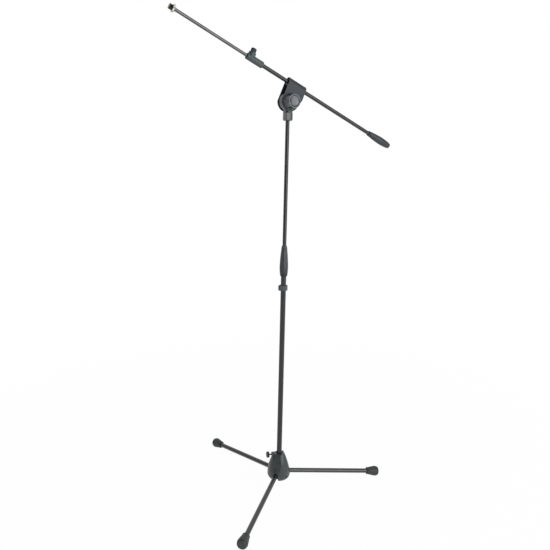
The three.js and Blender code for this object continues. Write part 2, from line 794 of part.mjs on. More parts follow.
function addBracket(parent) {
  const washer = pipe(washerRadius, boltBore, washerStart, washerStart + washerThickness);
  const insertStart = knobStart + clearance;
  const insert = pipe(knobInsertRadius, boltBore, insertStart, insertStart + knobInsertLength);
  addPiece(parent, 'boom_bracket', boomBracket(), materials.casting);
  addPiece(parent, 'bracket_liner', bracketLiner(), materials.palePlastic);
  addPiece(parent, 'clamp_bolt', clampBolt(), materials.steel);
  addPiece(parent, 'clamp_washer', alongY(washer), materials.steel);
  addPiece(parent, 'clamp_knob', clampKnob(), materials.plastic);
  addPiece(parent, 'knob_insert', alongY(insert), materials.brass);
}

// ---- Boom ----

const boomTubeStart = boomTubeEnd - boomTubeLength;
const collarRadius = boomTubeBore + collarWall;
const collarBossHeight = collarRadius + collarBossRise;
const collarScrewAlong = boomTubeEnd + collarScrewPastTube;

function boomGrip() {
  const start = boomTubeStart + gripTubeDepth;
  const end = boomTubeStart - gripFloor;
  const length = start - end;
  const widest = boomTubeBore + gripWall;
  const tail = boomTubeBore + gripTailWall;
  const outline = new THREE.SplineCurve([
    new THREE.Vector2(boomTubeBore + gripMouthWall, start),
    new THREE.Vector2(0.92 * widest, start - 0.33 * length),
    new THREE.Vector2(widest, start - 0.6 * length),
    new THREE.Vector2(0.87 * widest, start - 0.85 * length),
    new THREE.Vector2(tail, end + gripTailSlope),
  ]);
  const outside = outline.getPoints(outlineSteps).map((point) => [point.x, point.y]);
  return alongX(turned([
    [0, boomTubeStart - clearance],
    [boomTubeBore, boomTubeStart - clearance],
    [boomTubeBore, start],
    ...outside,
    [tail - gripTailStep, end],
    [0, end],
  ]));
}

function boomCollar() {
  const start = boomTubeEnd - collarTubeDepth;
  const end = boomTubeEnd + collarNose;
  const step = boomTubeEnd + clearance;
  const sleeve = alongX(bar(collarRadius, start, end));
  const bossRadius = collarRadius + collarBossSpread;
  const boss = bar(bossRadius, 0, collarBossHeight).translate(collarScrewAlong, 0, 0);
  const tubeRoom = alongX(bar(boomTubeBore, start - overcut, step));
  const rodRoom = alongX(bar(rodBore, start, end + overcut));
  const screwRoom = bar(screwBore, 0, collarBossHeight + overcut).translate(collarScrewAlong, 0, 0);
  return cut(join(sleeve, boss), tubeRoom, rodRoom, screwRoom);
}

function addBoom(parent) {
  const axis = new THREE.Group();
  axis.position.z = boomOffset;
  parent.add(axis);
  const tube = alongX(pipe(boomTubeRadius, boomTubeInner, boomTubeStart, boomTubeEnd));
  const screwKnobStart = collarBossHeight + collarKnobGap;
  const socketFloor = screwKnobStart + (2 * collarKnobThickness) / 3;
  const head = bar(collarKnobRadius, screwKnobStart, screwKnobStart + collarKnobThickness);
  const knob = cut(head, bar(screwBore, screwKnobStart - overcut, socketFloor));
  const stud = bar(screwRadius, rodBore, socketFloor - clearance);
  addPiece(axis, 'boom_tube', tube, materials.satinBlack);
  addPiece(axis, 'boom_grip', boomGrip(), materials.rubber);
  addPiece(axis, 'boom_collar', boomCollar(), materials.plastic);
  addPiece(axis, 'collar_screw_knob', knob.translate(collarScrewAlong, 0, 0), materials.plastic);
  addPiece(axis, 'collar_screw_stud', stud.translate(collarScrewAlong, 0, 0), materials.steel);
  addRod(axis);
}

function addRod(axis) {
  const spigotRadius = rodRadius - rodWall - clearance;
  const rodEnd = boomTubeEnd + rodReach;
  const rodStart = rodEnd - rodLength;
  const ringRadius = rodRadius + tipRingWall;
  const tube = alongX(pipe(rodRadius, rodRadius - rodWall, rodStart, rodEnd));
  const plug = alongX(tubePlug(rodStart, rodRadius, rodPlugFlange, spigotRadius, rodPlugSpigot));
  const ringStart = rodEnd + clearance;
  const ringEnd = ringStart + tipRingLength;
  const nutStart = ringEnd + clearance;
  const nutEnd = nutStart + lockNutThickness;
  const recessFloor = nutEnd - lockNutRecess;
  const tip = nutEnd + adapterReach;
  const fitting = alongX(turned([
    [0, rodEnd - tipSpigotLength],
    [spigotRadius, rodEnd - tipSpigotLength],
    [spigotRadius, ringStart],
    [ringRadius, ringStart],
    [ringRadius, ringEnd],
    [spigotThreadRadius, ringEnd],
    [spigotThreadRadius, tip],
    [0, tip],
  ]));
  const threadRoom = spigotThreadRadius + clearance;
  const adapterRoom = adapterRadius + clearance;
  const nut = alongX(turned([
    [threadRoom, nutStart],
    [lockNutRadius, nutStart],
    [lockNutRadius, nutEnd],
    [adapterRoom, nutEnd],
    [adapterRoom, recessFloor],
    [threadRoom, recessFloor],
    [threadRoom, nutStart],
  ]));
  const adapter = alongX(pipe(adapterRadius, threadRoom, recessFloor + clearance, tip));
  addPiece(axis, 'boom_rod', tube, materials.satinBlack);
  addPiece(axis, 'rod_plug', plug, materials.plastic);
  addPiece(axis, 'tip_fitting', fitting, materials.blackSteel);
  addPiece(axis, 'lock_nut', nut, materials.steel);
  addPiece(axis, 'thread_adapter', adapter, materials.blackSteel);
}

// ---- The whole stand ----

const stand = new THREE.Group();
addPiece(stand, 'hub_casting', hubCasting(), materials.casting);
addPiece(stand, 'hub_sleeve', hubSleeve(), materials.plastic);
addHubScrew(stand);
for (let i = 0; i < legCount; i += 1) {
  addLeg(stand, i);
}
addLowerMast(stand);
addCableClip(stand);
addClutch(stand);
addUpperMast(stand);
addHead(stand);
const boomGroup = boomFrame();
stand.add(boomGroup);
addBracket(boomGroup);
addBoom(boomGroup);

// The origin goes to the middle of the footprint, on the floor.
stand.updateMatrixWorld(true);
const extent = new THREE.Box3().setFromObject(stand, true);
const middle = extent.getCenter(new THREE.Vector3());
stand.position.set(-middle.x, -middle.y, -extent.min.z);

const model = new THREE.Group();
model.add(stand);
model.updateMatrixWorld(true);

export default model;
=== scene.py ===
import json
import math

import bpy
import numpy as np
from mathutils import Matrix, Vector


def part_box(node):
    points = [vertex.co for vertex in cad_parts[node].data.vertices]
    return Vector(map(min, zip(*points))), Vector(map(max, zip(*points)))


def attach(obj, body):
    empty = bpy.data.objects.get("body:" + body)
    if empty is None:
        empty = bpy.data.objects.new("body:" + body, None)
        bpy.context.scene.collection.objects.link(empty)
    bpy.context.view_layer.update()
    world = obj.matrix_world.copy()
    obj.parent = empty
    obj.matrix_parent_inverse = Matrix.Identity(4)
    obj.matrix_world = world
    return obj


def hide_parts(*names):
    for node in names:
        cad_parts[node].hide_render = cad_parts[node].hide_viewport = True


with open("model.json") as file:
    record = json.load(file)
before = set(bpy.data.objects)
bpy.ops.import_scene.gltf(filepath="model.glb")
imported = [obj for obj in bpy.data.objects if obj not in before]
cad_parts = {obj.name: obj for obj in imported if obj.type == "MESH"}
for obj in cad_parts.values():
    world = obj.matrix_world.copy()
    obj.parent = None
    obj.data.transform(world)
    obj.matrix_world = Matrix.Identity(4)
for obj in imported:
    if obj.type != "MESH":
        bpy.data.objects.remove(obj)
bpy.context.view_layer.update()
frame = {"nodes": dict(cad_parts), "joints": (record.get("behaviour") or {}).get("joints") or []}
joints = {joint["name"]: joint for joint in frame["joints"]}
mm = 0.001
turn = 2 * math.pi
fitRoom = 0.3 * mm  # between a piece and the one it fits in or over


# Wires: one output of a node tree, with arithmetic written as Python expressions
class Wire:
    def __init__(self, tree, socket=None):
        self.tree = tree
        self.socket = socket

    def make(self, kind, settings=None, sockets=None, out=0):
        node = self.tree.nodes.new(kind)
        for key, value in (settings or {}).items():
            setattr(node, key, value)
        for key, value in (sockets or {}).items():
            if isinstance(value, Wire):
                self.tree.links.new(value.socket, node.inputs[key])
            elif value is not None:
                node.inputs[key].default_value = value
        return Wire(self.tree, node.outputs[out])

    def pick(self, name):
        return Wire(self.tree, self.socket.node.outputs[name])

    def math(self, operation, *values):
        sockets = dict(enumerate((self, *values)))
        return self.make("ShaderNodeMath", {"operation": operation}, sockets)

    def backwards(self, operation, value):
        return self.make("ShaderNodeMath", {"operation": operation}, {0: value, 1: self})

    def __add__(self, other):
        return self.math("ADD", other)

    def __radd__(self, other):
        return self.backwards("ADD", other)

    def __sub__(self, other):
        return self.math("SUBTRACT", other)

    def __rsub__(self, other):
        return self.backwards("SUBTRACT", other)

    def __mul__(self, other):
        return self.math("MULTIPLY", other)

    def __rmul__(self, other):
        return self.backwards("MULTIPLY", other)

    def __truediv__(self, other):
        return self.math("DIVIDE", other)

    def __gt__(self, other):
        return self.math("GREATER_THAN", other)

    def __pow__(self, other):
        return self.math("POWER", other)

    def __abs__(self):
        return self.math("ABSOLUTE")

    def ease(self, low, high):
        settings = {"interpolation_type": "SMOOTHSTEP"}
        sockets = {"Value": self, "From Min": low, "From Max": high}
        return self.make("ShaderNodeMapRange", settings, sockets)


# Places: each has its origin on a piece's axis, its Z along it and its X to a named side
def placeAt(origin, along, side):
    z = Vector(along).normalized()
    x = (Vector(side) - z * z.dot(Vector(side))).normalized()
    place = Matrix((x, z.cross(x), z)).transposed().to_4x4()
    place.translation = Vector(origin)
    return place


def pointsOf(node):
    return np.array([v.co for v in frame["nodes"][node].data.vertices], float)


def centreOf(node):
    low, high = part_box(node)
    return (low + high) / 2


# How far a CAD node reaches along a place's axis, and its largest and smallest radius about it
def measure(place, node):
    inverse = np.array(place.inverted())
    local = pointsOf(node) @ inverse[:3, :3].T + inverse[:3, 3]
    radii = np.hypot(local[:, 0], local[:, 1])
    return {
        "start": local[:, 2].min(),
        "end": local[:, 2].max(),
        "radius": radii.max(),
        "bore": radii.min(),
        "low": local.min(0),
        "high": local.max(0),
    }


mastCentre = centreOf("lower_tube")
mastX = mastCentre.x
mastY = mastCentre.y
mastPlace = placeAt((mastX, mastY, 0), (0, 0, 1), (1, 0, 0))

pivot = Vector(joints["boom_tilt"]["pos_m"])
boomWay = Vector(joints["boom_slide"]["axis"])
knobWay = Vector(joints["knob_turn"]["axis"])
boomUp = boomWay.cross(knobWay)
boomRise = (centreOf("boom_tube") - pivot).dot(boomUp)
boomPlace = placeAt(pivot + boomUp * boomRise, boomWay, boomUp)
clampPlace = placeAt(pivot, knobWay, boomUp)
bracketPlace = placeAt(pivot, boomUp, boomWay)

hubScrewWay = Vector(joints["hub_screw_turn"]["axis"])
hubScrewHeight = joints["hub_screw_turn"]["pos_m"][2]
hubScrewPlace = placeAt((mastX, mastY, hubScrewHeight), hubScrewWay, (0, 0, 1))
collarScrewAt = Vector(joints["collar_screw_turn"]["pos_m"])
collarScrewAlong = (boomPlace.inverted() @ collarScrewAt).z
collarScrewPlace = placeAt(boomPlace @ Vector((0, 0, collarScrewAlong)), boomUp, boomWay)


def legPlace(number):
    points = pointsOf(f"leg_tube_{number}")
    middle = points.mean(0)
    way = Vector(np.linalg.svd(points - middle, full_matrices=False)[2][0])
    outward = Vector((middle[0] - mastX, middle[1] - mastY, 0))
    if way.dot(outward) < 0:
        way = -way
    back = outward.length / Vector((way.x, way.y, 0)).length
    return placeAt(Vector(middle) - way * back, way, (0, 0, 1))


legNumbers = (1, 2, 3)
legPlaces = {number: legPlace(number) for number in legNumbers}


# Profiles and meshes
# Corners of a profile of (along, radius) points are rounded, with two close points on long
# sides, so that a corner's wear stays at the corner
def rounded(profile, size, closed=False):
    points = [np.array(p, float) for p in profile]
    made = []
    count = len(points)
    for i, corner in enumerate(points):
        isEnd = not closed and i in (0, count - 1)
        before = points[i - 1] - corner
        after = points[(i + 1) % count] - corner
        shortest = min(np.linalg.norm(before), np.linalg.norm(after))
        if isEnd or shortest < 1e-7:
            made.append(corner)
            continue
        straightness = np.dot(before, after) / np.linalg.norm(before) / np.linalg.norm(after)
        if straightness < -0.985:
            made.append(corner)
            continue
        reach = min(size, 0.4 * shortest)
        a = corner + before / np.linalg.norm(before) * reach
        b = corner + after / np.linalg.norm(after) * reach
        if np.linalg.norm(before) > 5 * reach:
            made += [a + (a - corner), a + (a - corner) * 0.5]
        for t in (0, 0.25, 0.5, 0.75, 1):
            made.append(a * (1 - t) ** 2 + 2 * corner * t * (1 - t) + b * t * t)
        if np.linalg.norm(after) > 5 * reach:
            made += [b + (b - corner) * 0.5, b + (b - corner)]
    return [(p[0], max(p[1], 0)) for p in made]


def meshFrom(name, vertices, faces):
    mesh = bpy.data.meshes.new(name)
    mesh.from_pydata([tuple(v) for v in vertices], [], faces)
    mesh.validate()
    faceOutwards(mesh)
    return mesh


def faceOutwards(mesh):
    mesh.calc_loop_triangles()
    points = np.array([v.co for v in mesh.vertices], float)
    corners = np.array([t.vertices[:] for t in mesh.loop_triangles])
    a, b, c = (points[corners[:, k]] for k in range(3))
    if np.einsum("ij,ij->i", a, np.cross(b, c)).sum() < 0:
        mesh.flip_normals()


# A profile turned about Z: closed at the axis where its radius is zero, or closed on itself
def turnedMesh(name, profile, sides=64, closed=False):
    vertices = []
    rings = []
    angles = [turn * k / sides for k in range(sides)]
    for along, radius in profile:
        first = len(vertices)
        if radius < 1e-7:
            vertices.append((0, 0, along))
            rings.append([first] * sides)
        else:
            vertices += [(radius * math.cos(a), radius * math.sin(a), along) for a in angles]
            rings.append(list(range(first, first + sides)))
    pairs = list(zip(rings, rings[1:]))
    if closed:
        pairs.append((rings[-1], rings[0]))
    faces = []
    for low, high in pairs:
        for k in range(sides):
            j = (k + 1) % sides
            corners = [low[k], low[j], high[j], high[k]]
            face = list(dict.fromkeys(corners))
            if len(face) > 2:
                faces.append(face)
    return meshFrom(name, vertices, faces)


def barMesh(name, radius, start, end, sides=64):
    return turnedMesh(name, [(start, 0), (start, radius), (end, radius), (end, 0)], sides)


def blockMesh(name, low, high):
    corners = [(x, y, z) for x in (low[0], high[0]) for y in (low[1], high[1]) for z in (low[2], high[2])]
    faces = [(0, 1, 3, 2), (4, 6, 7, 5), (0, 4, 5, 1), (2, 3, 7, 6), (0, 2, 6, 4), (1, 5, 7, 3)]
    return meshFrom(name, corners, faces)


# An outline in X and Y made solid between two heights
def slabMesh(name, outline, low, high):
    count = len(outline)
    vertices = [(x, y, z) for z in (low, high) for x, y in outline]
    faces = [list(range(count)), list(range(count, 2 * count))[::-1]]
    for k in range(count):
        j = (k + 1) % count
        faces.append([j, k, k + count, j + count])
    return meshFrom(name, vertices, faces)


def moved(mesh, place):
    mesh.transform(place)
    return mesh


def holderOf(mesh):
    holder = bpy.data.objects.new(mesh.name, mesh)
    bpy.context.scene.collection.objects.link(holder)
    return holder


def evaluated(holder):
    graph = bpy.context.evaluated_depsgraph_get()
    mesh = bpy.data.meshes.new_from_object(holder.evaluated_get(graph))
    bpy.data.objects.remove(holder)
    return mesh


def carved(base, joined=(), cutters=()):
    body = holderOf(base)
    tools = []
    for operation, meshes in (("UNION", joined), ("DIFFERENCE", cutters)):
        for mesh in meshes:
            tool = holderOf(mesh)
            tools.append(tool)
            modifier = body.modifiers.new("carve", "BOOLEAN")
            modifier.operation = operation
            modifier.solver = "MANIFOLD"
            modifier.object = tool
    body.modifiers.new("weld", "WELD").merge_threshold = 0.02 * mm
    mesh = evaluated(body)
    for tool in tools:
        bpy.data.objects.remove(tool)
    return mesh


# A moulded or cast skin: edges and inside corners softened all over
def softened(mesh, grain, passes, keep):
    holder = holderOf(mesh)
    skin = holder.modifiers.new("skin", "REMESH")
    skin.mode = "VOXEL"
    skin.voxel_size = grain
    smooth = holder.modifiers.new("smooth", "SMOOTH")
    smooth.factor = 0.5
    smooth.iterations = passes
    thin = holder.modifiers.new("thin", "DECIMATE")
    thin.ratio = keep
    made = evaluated(holder)
    faceOutwards(made)
    return made


def bevelled(mesh, width, angle=30, segments=3):
    holder = holderOf(mesh)
    bevel = holder.modifiers.new("edges", "BEVEL")
    bevel.width = width
    bevel.segments = segments
    bevel.limit_method = "ANGLE"
    bevel.angle_limit = math.radians(angle)
    bevel.miter_outer = "MITER_ARC"
    return evaluated(holder)


# Ridges: a wave round a turned surface that pushes it in towards its axis. With a pitch the
# wave climbs like a thread.
def ridgeTree():
    tree = bpy.data.node_groups.new("ridges", "GeometryNodeTree")
    number = "NodeSocketFloat"
    inputs = {
        "Geometry": "NodeSocketGeometry", "Count": number, "Pitch": number, "Depth": number,
        "Sharp": number, "Narrow": number, "Low": number, "High": number, "Fade": number,
        "Bore": number, "Material": "NodeSocketMaterial",
    }
    for label, kind in inputs.items():
        tree.interface.new_socket(name=label, in_out="INPUT", socket_type=kind)
    tree.interface.new_socket(name="Geometry", in_out="OUTPUT", socket_type="NodeSocketGeometry")
    start = Wire(tree)
    given = {label: start.make("NodeGroupInput").pick(label) for label in inputs}
    position = start.make("GeometryNodeInputPosition")
    x = start.make("ShaderNodeSeparateXYZ", None, {0: position})
    y = x.pick("Y")
    z = x.pick("Z")
    radius = (x * x + y * y).math("SQRT")
    phase = given["Count"] * y.math("ARCTAN2", x) / turn + z / given["Pitch"]
    hill = abs(phase.math("FRACT") * 2 - 1)
    swell = (phase * turn).math("COSINE") * 0.5 + 0.5
    wave = (hill * given["Sharp"] + swell * (1 - given["Sharp"])) ** given["Narrow"]
    fadeIn = z.ease(given["Low"], given["Low"] + given["Fade"])
    fadeOut = 1 - z.ease(given["High"] - given["Fade"], given["High"])
    push = given["Depth"] * wave * fadeIn * fadeOut * (radius > given["Bore"])
    scale = 1 - push / radius.math("MAXIMUM", 0.01 * mm)
    spot = start.make("ShaderNodeCombineXYZ", None, {"X": x * scale, "Y": y * scale, "Z": z})
    body = start.make("GeometryNodeSetPosition", None, {"Geometry": given["Geometry"], "Position": spot})
    body = start.make("GeometryNodeRealizeInstances", None, {"Geometry": body})
    body = start.make("GeometryNodeSetMaterial", None, {"Geometry": body, "Material": given["Material"]})
    output = tree.nodes.new("NodeGroupOutput")
    tree.links.new(body.socket, output.inputs["Geometry"])
    return tree


ridges = ridgeTree()
ridgeDefaults = {
    "Count": 1.0, "Pitch": 1e6, "Depth": 0.0, "Sharp": 0.0, "Narrow": 1.0,
    "Low": -10.0, "High": 10.0, "Fade": 0.001, "Bore": 0.0,
}


def withRidges(mesh, material, sizes):
    holder = holderOf(mesh)
    modifier = holder.modifiers.new("ridges", "NODES")
    modifier.node_group = ridges
    values = {**ridgeDefaults, **sizes, "Material": material}
    for item in ridges.interface.items_tree:
        if item.in_out == "INPUT" and item.name in values:
            value = values[item.name]
            modifier[item.identifier] = value if item.name == "Material" else float(value)
    return evaluated(holder)


def ringsAlong(start, end, step):
    count = max(2, round((end - start) / step))
    return [start + (end - start) * k / count for k in range(count + 1)]


# How sharply each point of a surface bends outwards and inwards, in radians per millimetre,
# kept as two attributes that the finishes read for wear and for painted shade in hollows
def markEdges(mesh):
    count = len(mesh.vertices)
    points = np.empty(count * 3)
    mesh.vertices.foreach_get("co", points)
    points = points.reshape(-1, 3)
    normals = np.empty(count * 3, np.float32)
    mesh.vertex_normals.foreach_get("vector", normals)
    normals = normals.reshape(-1, 3)
    ends = np.empty(len(mesh.edges) * 2, np.int32)
    mesh.edges.foreach_get("vertices", ends)
    a, b = ends.reshape(-1, 2).T
    step = points[b] - points[a]
    lengths = np.maximum((step**2).sum(1), 1e-10)
    bend = ((normals[b] - normals[a]) * step).sum(1) / lengths * mm
    for name, signed in (("edge", bend), ("hollow", -bend)):
        worst = np.zeros(count)
        np.maximum.at(worst, a, signed)
        np.maximum.at(worst, b, signed)
        attribute = mesh.attributes.new(name, "FLOAT", "POINT")
        attribute.data.foreach_set("value", np.clip(worst, 0, 2).astype(np.float32))


def addPiece(name, mesh, place, body, slotName, material, *nodes, smoothTo=40):
    if place:
        mesh.transform(place)
    mesh.name = name
    mesh.materials.clear()
    mesh.materials.append(material)
    mesh.polygons.foreach_set("material_index", [0] * len(mesh.polygons))
    mesh.polygons.foreach_set("use_smooth", [True] * len(mesh.polygons))
    mesh.set_sharp_from_angle(angle=math.radians(smoothTo))
    markEdges(mesh)
    piece = bpy.data.objects.new(name, mesh)
    bpy.context.scene.collection.objects.link(piece)
    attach(piece, body)
    if nodes:
        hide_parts(*nodes)
    return piece


print("stage: finishes")


# Finishes
def newFinish(name):
    material = bpy.data.materials.new(name)
    material.use_nodes = True
    material.node_tree.nodes.clear()
    return material, Wire(material.node_tree)


def noise(spot, size, detail=2.0, roughness=0.5):
    sockets = {"Vector": spot, "Scale": 1 / size, "Detail": detail, "Roughness": roughness}
    return spot.make("ShaderNodeTexNoise", None, sockets)


def mixed(factor, a, b):
    return factor.make("ShaderNodeMix", {"data_type": "RGBA"}, {0: factor, 6: a, 7: b}, out=2)


def attribute(start, name):
    return start.make("ShaderNodeAttribute", {"attribute_name": name}, out="Fac")


def shade(colour, factor):
    return (*(min(1.0, channel * factor) for channel in colour[:3]), 1)


def closeFinish(start, colour, roughness, height, look):
    bump = {"Height": height, "Distance": look["relief"], "Strength": 1.0}
    sockets = {
        "Base Color": colour,
        "Roughness": roughness,
        "Metallic": look.get("metallic", 0.0),
        "Specular IOR Level": look.get("specular", 0.5),
        "Normal": start.make("ShaderNodeBump", None, bump, out="Normal"),
    }
    surface = start.make("ShaderNodeBsdfPrincipled", None, sockets)
    output = start.tree.nodes.new("ShaderNodeOutputMaterial")
    start.tree.links.new(surface.socket, output.inputs["Surface"])


# Powder coat, moulded plastic and rubber: a soft waviness, a fine grain, cloudy tone, edges
# rubbed lighter, and painted shade that darkens the corners and hollows
def coatedFinish(name, look):
    material, start = newFinish(name)
    spot = start.make("ShaderNodeTexCoord", out="Object")
    cloud = noise(spot, look["cloud"], 3.0)
    wave = noise(spot, look["wave"], 1.0)
    grain = noise(spot, look["grain"], 2.0, 0.6)
    scuff = noise(spot, look["scuff"], 4.0, 0.65)
    rubbed = attribute(start, "edge").ease(look["edgeFrom"], look["edgeFull"])
    rubbed = rubbed * scuff.ease(0.35, 0.65) * look["rub"]
    # painted shade: hollows, creases and inside corners darkened towards 0.45 of the colour
    paintedShade = attribute(start, "hollow").ease(0.05, 0.6) * look["paintedShade"]
    colour = mixed(cloud.ease(0.3, 0.7), shade(look["colour"], 0.88), shade(look["colour"], 1.12))
    colour = mixed(grain.ease(0.35, 0.7) * look["fleck"], colour, shade(look["colour"], 1.6))
    colour = mixed(rubbed, colour, (*look["rubbed"], 1))
    colour = mixed(paintedShade, colour, shade(look["colour"], 0.45))
    streak = scuff.ease(0.55, 0.8) * look["polish"]
    roughness = look["roughness"] + (cloud - 0.5) * 0.12 - streak - rubbed * 0.12
    closeFinish(start, colour, roughness, wave * look["waviness"] + grain, look)
    return material


# Turned and plated metal: tool rings along the piece, faint stains, painted shade in thread roots
def turnedFinish(name, look, way):
    material, start = newFinish(name)
    spot = start.make("ShaderNodeTexCoord", out="Object")
    along = start.make("ShaderNodeVectorMath", {"operation": "DOT_PRODUCT"}, {0: spot, 1: way}, out="Value")
    sockets = {"W": along, "Scale": 1 / look["rings"], "Detail": 2.0}
    rings = start.make("ShaderNodeTexNoise", {"noise_dimensions": "1D"}, sockets)
    stain = noise(spot, look["stain"], 3.0, 0.6)
    # painted shade: thread roots and other hollows darkened towards 0.3 of the colour, and made rougher
    paintedShade = attribute(start, "hollow").ease(0.05, 0.7) * look["paintedShade"]
    colour = mixed(stain.ease(0.35, 0.75), (*look["colour"], 1), shade(look["colour"], look["stained"]))
    colour = mixed(paintedShade, colour, shade(look["colour"], 0.3))
    roughness = look["roughness"] + (rings - 0.5) * 0.2 + paintedShade * 0.2
    closeFinish(start, colour, roughness, rings + stain * 0.4, look)
    return material


# Looks: the strength given for hollows sets how much they are darkened as painted shade
paintLook = {
    "colour": (0.032, 0.042, 0.042), "rubbed": (0.13, 0.15, 0.15), "roughness": 0.33, "specular": 0.6,
    "cloud": 30 * mm, "wave": 2.2 * mm, "waviness": 1.5, "grain": 0.45 * mm, "scuff": 7 * mm,
    "edgeFrom": 0.3, "edgeFull": 1.1, "rub": 0.5, "paintedShade": 0.55, "fleck": 0.18, "polish": 0.06,
    "relief": 0.02 * mm,
}
plasticLook = {
    **paintLook, "colour": (0.018, 0.022, 0.024), "rubbed": (0.09, 0.11, 0.115), "roughness": 0.44,
    "grain": 0.3 * mm, "wave": 3 * mm, "waviness": 0.5, "fleck": 0.1, "specular": 0.32, "relief": 0.014 * mm,
}
hubPaint = coatedFinish("hubPaint", paintLook)
headPaint = coatedFinish("headPaint", {**paintLook, "roughness": 0.25, "specular": 0.9})
bracketPaint = coatedFinish(
    "bracketPaint",
    {**paintLook, "colour": (0.022, 0.032, 0.038), "grain": 0.6 * mm, "roughness": 0.4, "specular": 0.3},
)
knucklePaint = coatedFinish("knucklePaint", {**paintLook, "colour": (0.03, 0.034, 0.035)})
tubePaint = coatedFinish(
    "tubePaint",
    {
        **paintLook, "colour": (0.013, 0.015, 0.017), "rubbed": (0.08, 0.08, 0.08), "roughness": 0.24,
        "wave": 3 * mm, "grain": 0.5 * mm, "fleck": 0.04, "polish": 0.04, "specular": 0.5,
        "relief": 0.004 * mm,
    },
)
legPaint = coatedFinish(
    "legPaint",
    {
        **paintLook, "colour": (0.011, 0.014, 0.014), "rubbed": (0.08, 0.08, 0.08), "roughness": 0.24,
        "wave": 2.5 * mm, "grain": 0.5 * mm, "fleck": 0.05, "specular": 0.8, "relief": 0.005 * mm,
    },
)
rodPaint = coatedFinish(
    "rodPaint",
    {
        **paintLook, "colour": (0.095, 0.1, 0.1), "rubbed": (0.2, 0.2, 0.19), "roughness": 0.22,
        "metallic": 0.92, "wave": 3 * mm, "grain": 0.4 * mm, "fleck": 0.04, "specular": 0.5,
        "relief": 0.003 * mm,
    },
)
blackPlastic = coatedFinish("blackPlastic", plasticLook)
collarPlastic = coatedFinish("collarPlastic", {**plasticLook, "colour": (0.06, 0.077, 0.08)})
clipPlastic = coatedFinish("clipPlastic", {**plasticLook, "colour": (0.065, 0.082, 0.096)})
knobPlastic = coatedFinish(
    "knobPlastic", {**plasticLook, "colour": (0.036, 0.047, 0.054), "roughness": 0.26, "specular": 0.8}
)
gripRubber = coatedFinish(
    "gripRubber",
    {
        **plasticLook, "colour": (0.026, 0.034, 0.042), "roughness": 0.38, "specular": 0.42,
        "grain": 0.35 * mm, "wave": 1.2 * mm, "waviness": 0.8, "relief": 0.02 * mm, "scuff": 12 * mm,
    },
)
footRubber = coatedFinish(
    "footRubber",
    {
        **plasticLook, "colour": (0.036, 0.044, 0.043), "rubbed": (0.13, 0.13, 0.12), "roughness": 0.52,
        "specular": 0.38, "fleck": 0.3, "rub": 0.8, "scuff": 5 * mm, "relief": 0.03 * mm,
    },
)
palePlastic = coatedFinish(
    "palePlastic",
    {**plasticLook, "colour": (0.36, 0.37, 0.34), "rubbed": (0.5, 0.5, 0.47), "fleck": 0.05, "paintedShade": 0.4},
)
# painted shade: a darker copy of the pale plastic, for the liner that sits in shadow inside the bracket
shadedLinerPlastic = coatedFinish("shadedLinerPlastic", {**plasticLook, "colour": (0.09, 0.095, 0.09)})
steelLook = {
    "colour": (0.62, 0.61, 0.58), "stained": 0.75, "roughness": 0.3, "metallic": 1.0, "rings": 0.25 * mm,
    "stain": 4 * mm, "paintedShade": 0.7, "relief": 0.01 * mm,
}
upright = (0.0, 0.0, 1.0)
blackSteelLook = {**steelLook, "colour": (0.13, 0.13, 0.12), "roughness": 0.34, "metallic": 0.9}
nutLook = {**steelLook, "colour": (0.62, 0.6, 0.54), "stained": 0.85, "roughness": 0.34, "paintedShade": 0.6}
darkScrew = turnedFinish("darkScrew", {**blackSteelLook, "colour": (0.1, 0.1, 0.1)}, tuple(hubScrewWay))
mastSteel = turnedFinish("mastSteel", steelLook, upright)
pinSteel = turnedFinish("pinSteel", {**steelLook, "colour": (0.3, 0.3, 0.29)}, (1.0, 0.0, 0.0))
boltSteel = turnedFinish("boltSteel", steelLook, tuple(knobWay))
collarScrewSteel = turnedFinish("collarScrewSteel", steelLook, tuple(boomUp))
threadBlack = turnedFinish("threadBlack", blackSteelLook, tuple(boomWay))
nutPlate = turnedFinish("nutPlate", nutLook, tuple(boomWay))
insertBrass = turnedFinish("insertBrass", {**steelLook, "colour": (0.72, 0.5, 0.2)}, tuple(knobWay))


# Profiles that several pieces share
def pipeProfile(start, end, radius, bore, edge):
    return rounded([(start, bore), (start, radius), (end, radius), (end, bore)], edge, closed=True)


def pipePiece(name, node, place, body, slotName, material, edge=0.3 * mm, sides=64):
    size = measure(place, node)
    profile = pipeProfile(size["start"], size["end"], size["radius"], size["bore"], edge)
    mesh = turnedMesh(name, profile, sides, closed=True)
    return addPiece(name, mesh, place, body, slotName, material, node)


# A smooth curve that passes through each point
def curveThrough(points, steps):
    made = []
    padded = [points[0], *points, points[-1]]
    for a, b, c, d in zip(padded, padded[1:], padded[2:], padded[3:]):
        a, b, c, d = (np.array(p, float) for p in (a, b, c, d))
        square = 2 * a - 5 * b + 4 * c - d
        cube = 3 * b - a - 3 * c + d
        for k in range(steps):
            t = k / steps
            made.append(tuple(0.5 * (2 * b + (c - a) * t + square * t * t + cube * t**3)))
    made.append(points[-1])
    return made


def threadedBar(name, node, place, body, slotName, material, pitch, depth):
    size = measure(place, node)
    rings = ringsAlong(size["start"], size["end"], pitch / 8)
    profile = [(rings[0], 0), *((along, size["radius"]) for along in rings), (rings[-1], 0)]
    sizes = {
        "Count": -1, "Pitch": pitch, "Depth": depth, "Sharp": 1,
        "Low": size["start"] - pitch, "High": size["end"] + pitch, "Fade": pitch,
    }
    mesh = withRidges(turnedMesh(name, profile, 36), material, sizes)
    return addPiece(name, mesh, place, body, slotName, material, node, smoothTo=60)


print("stage: base")

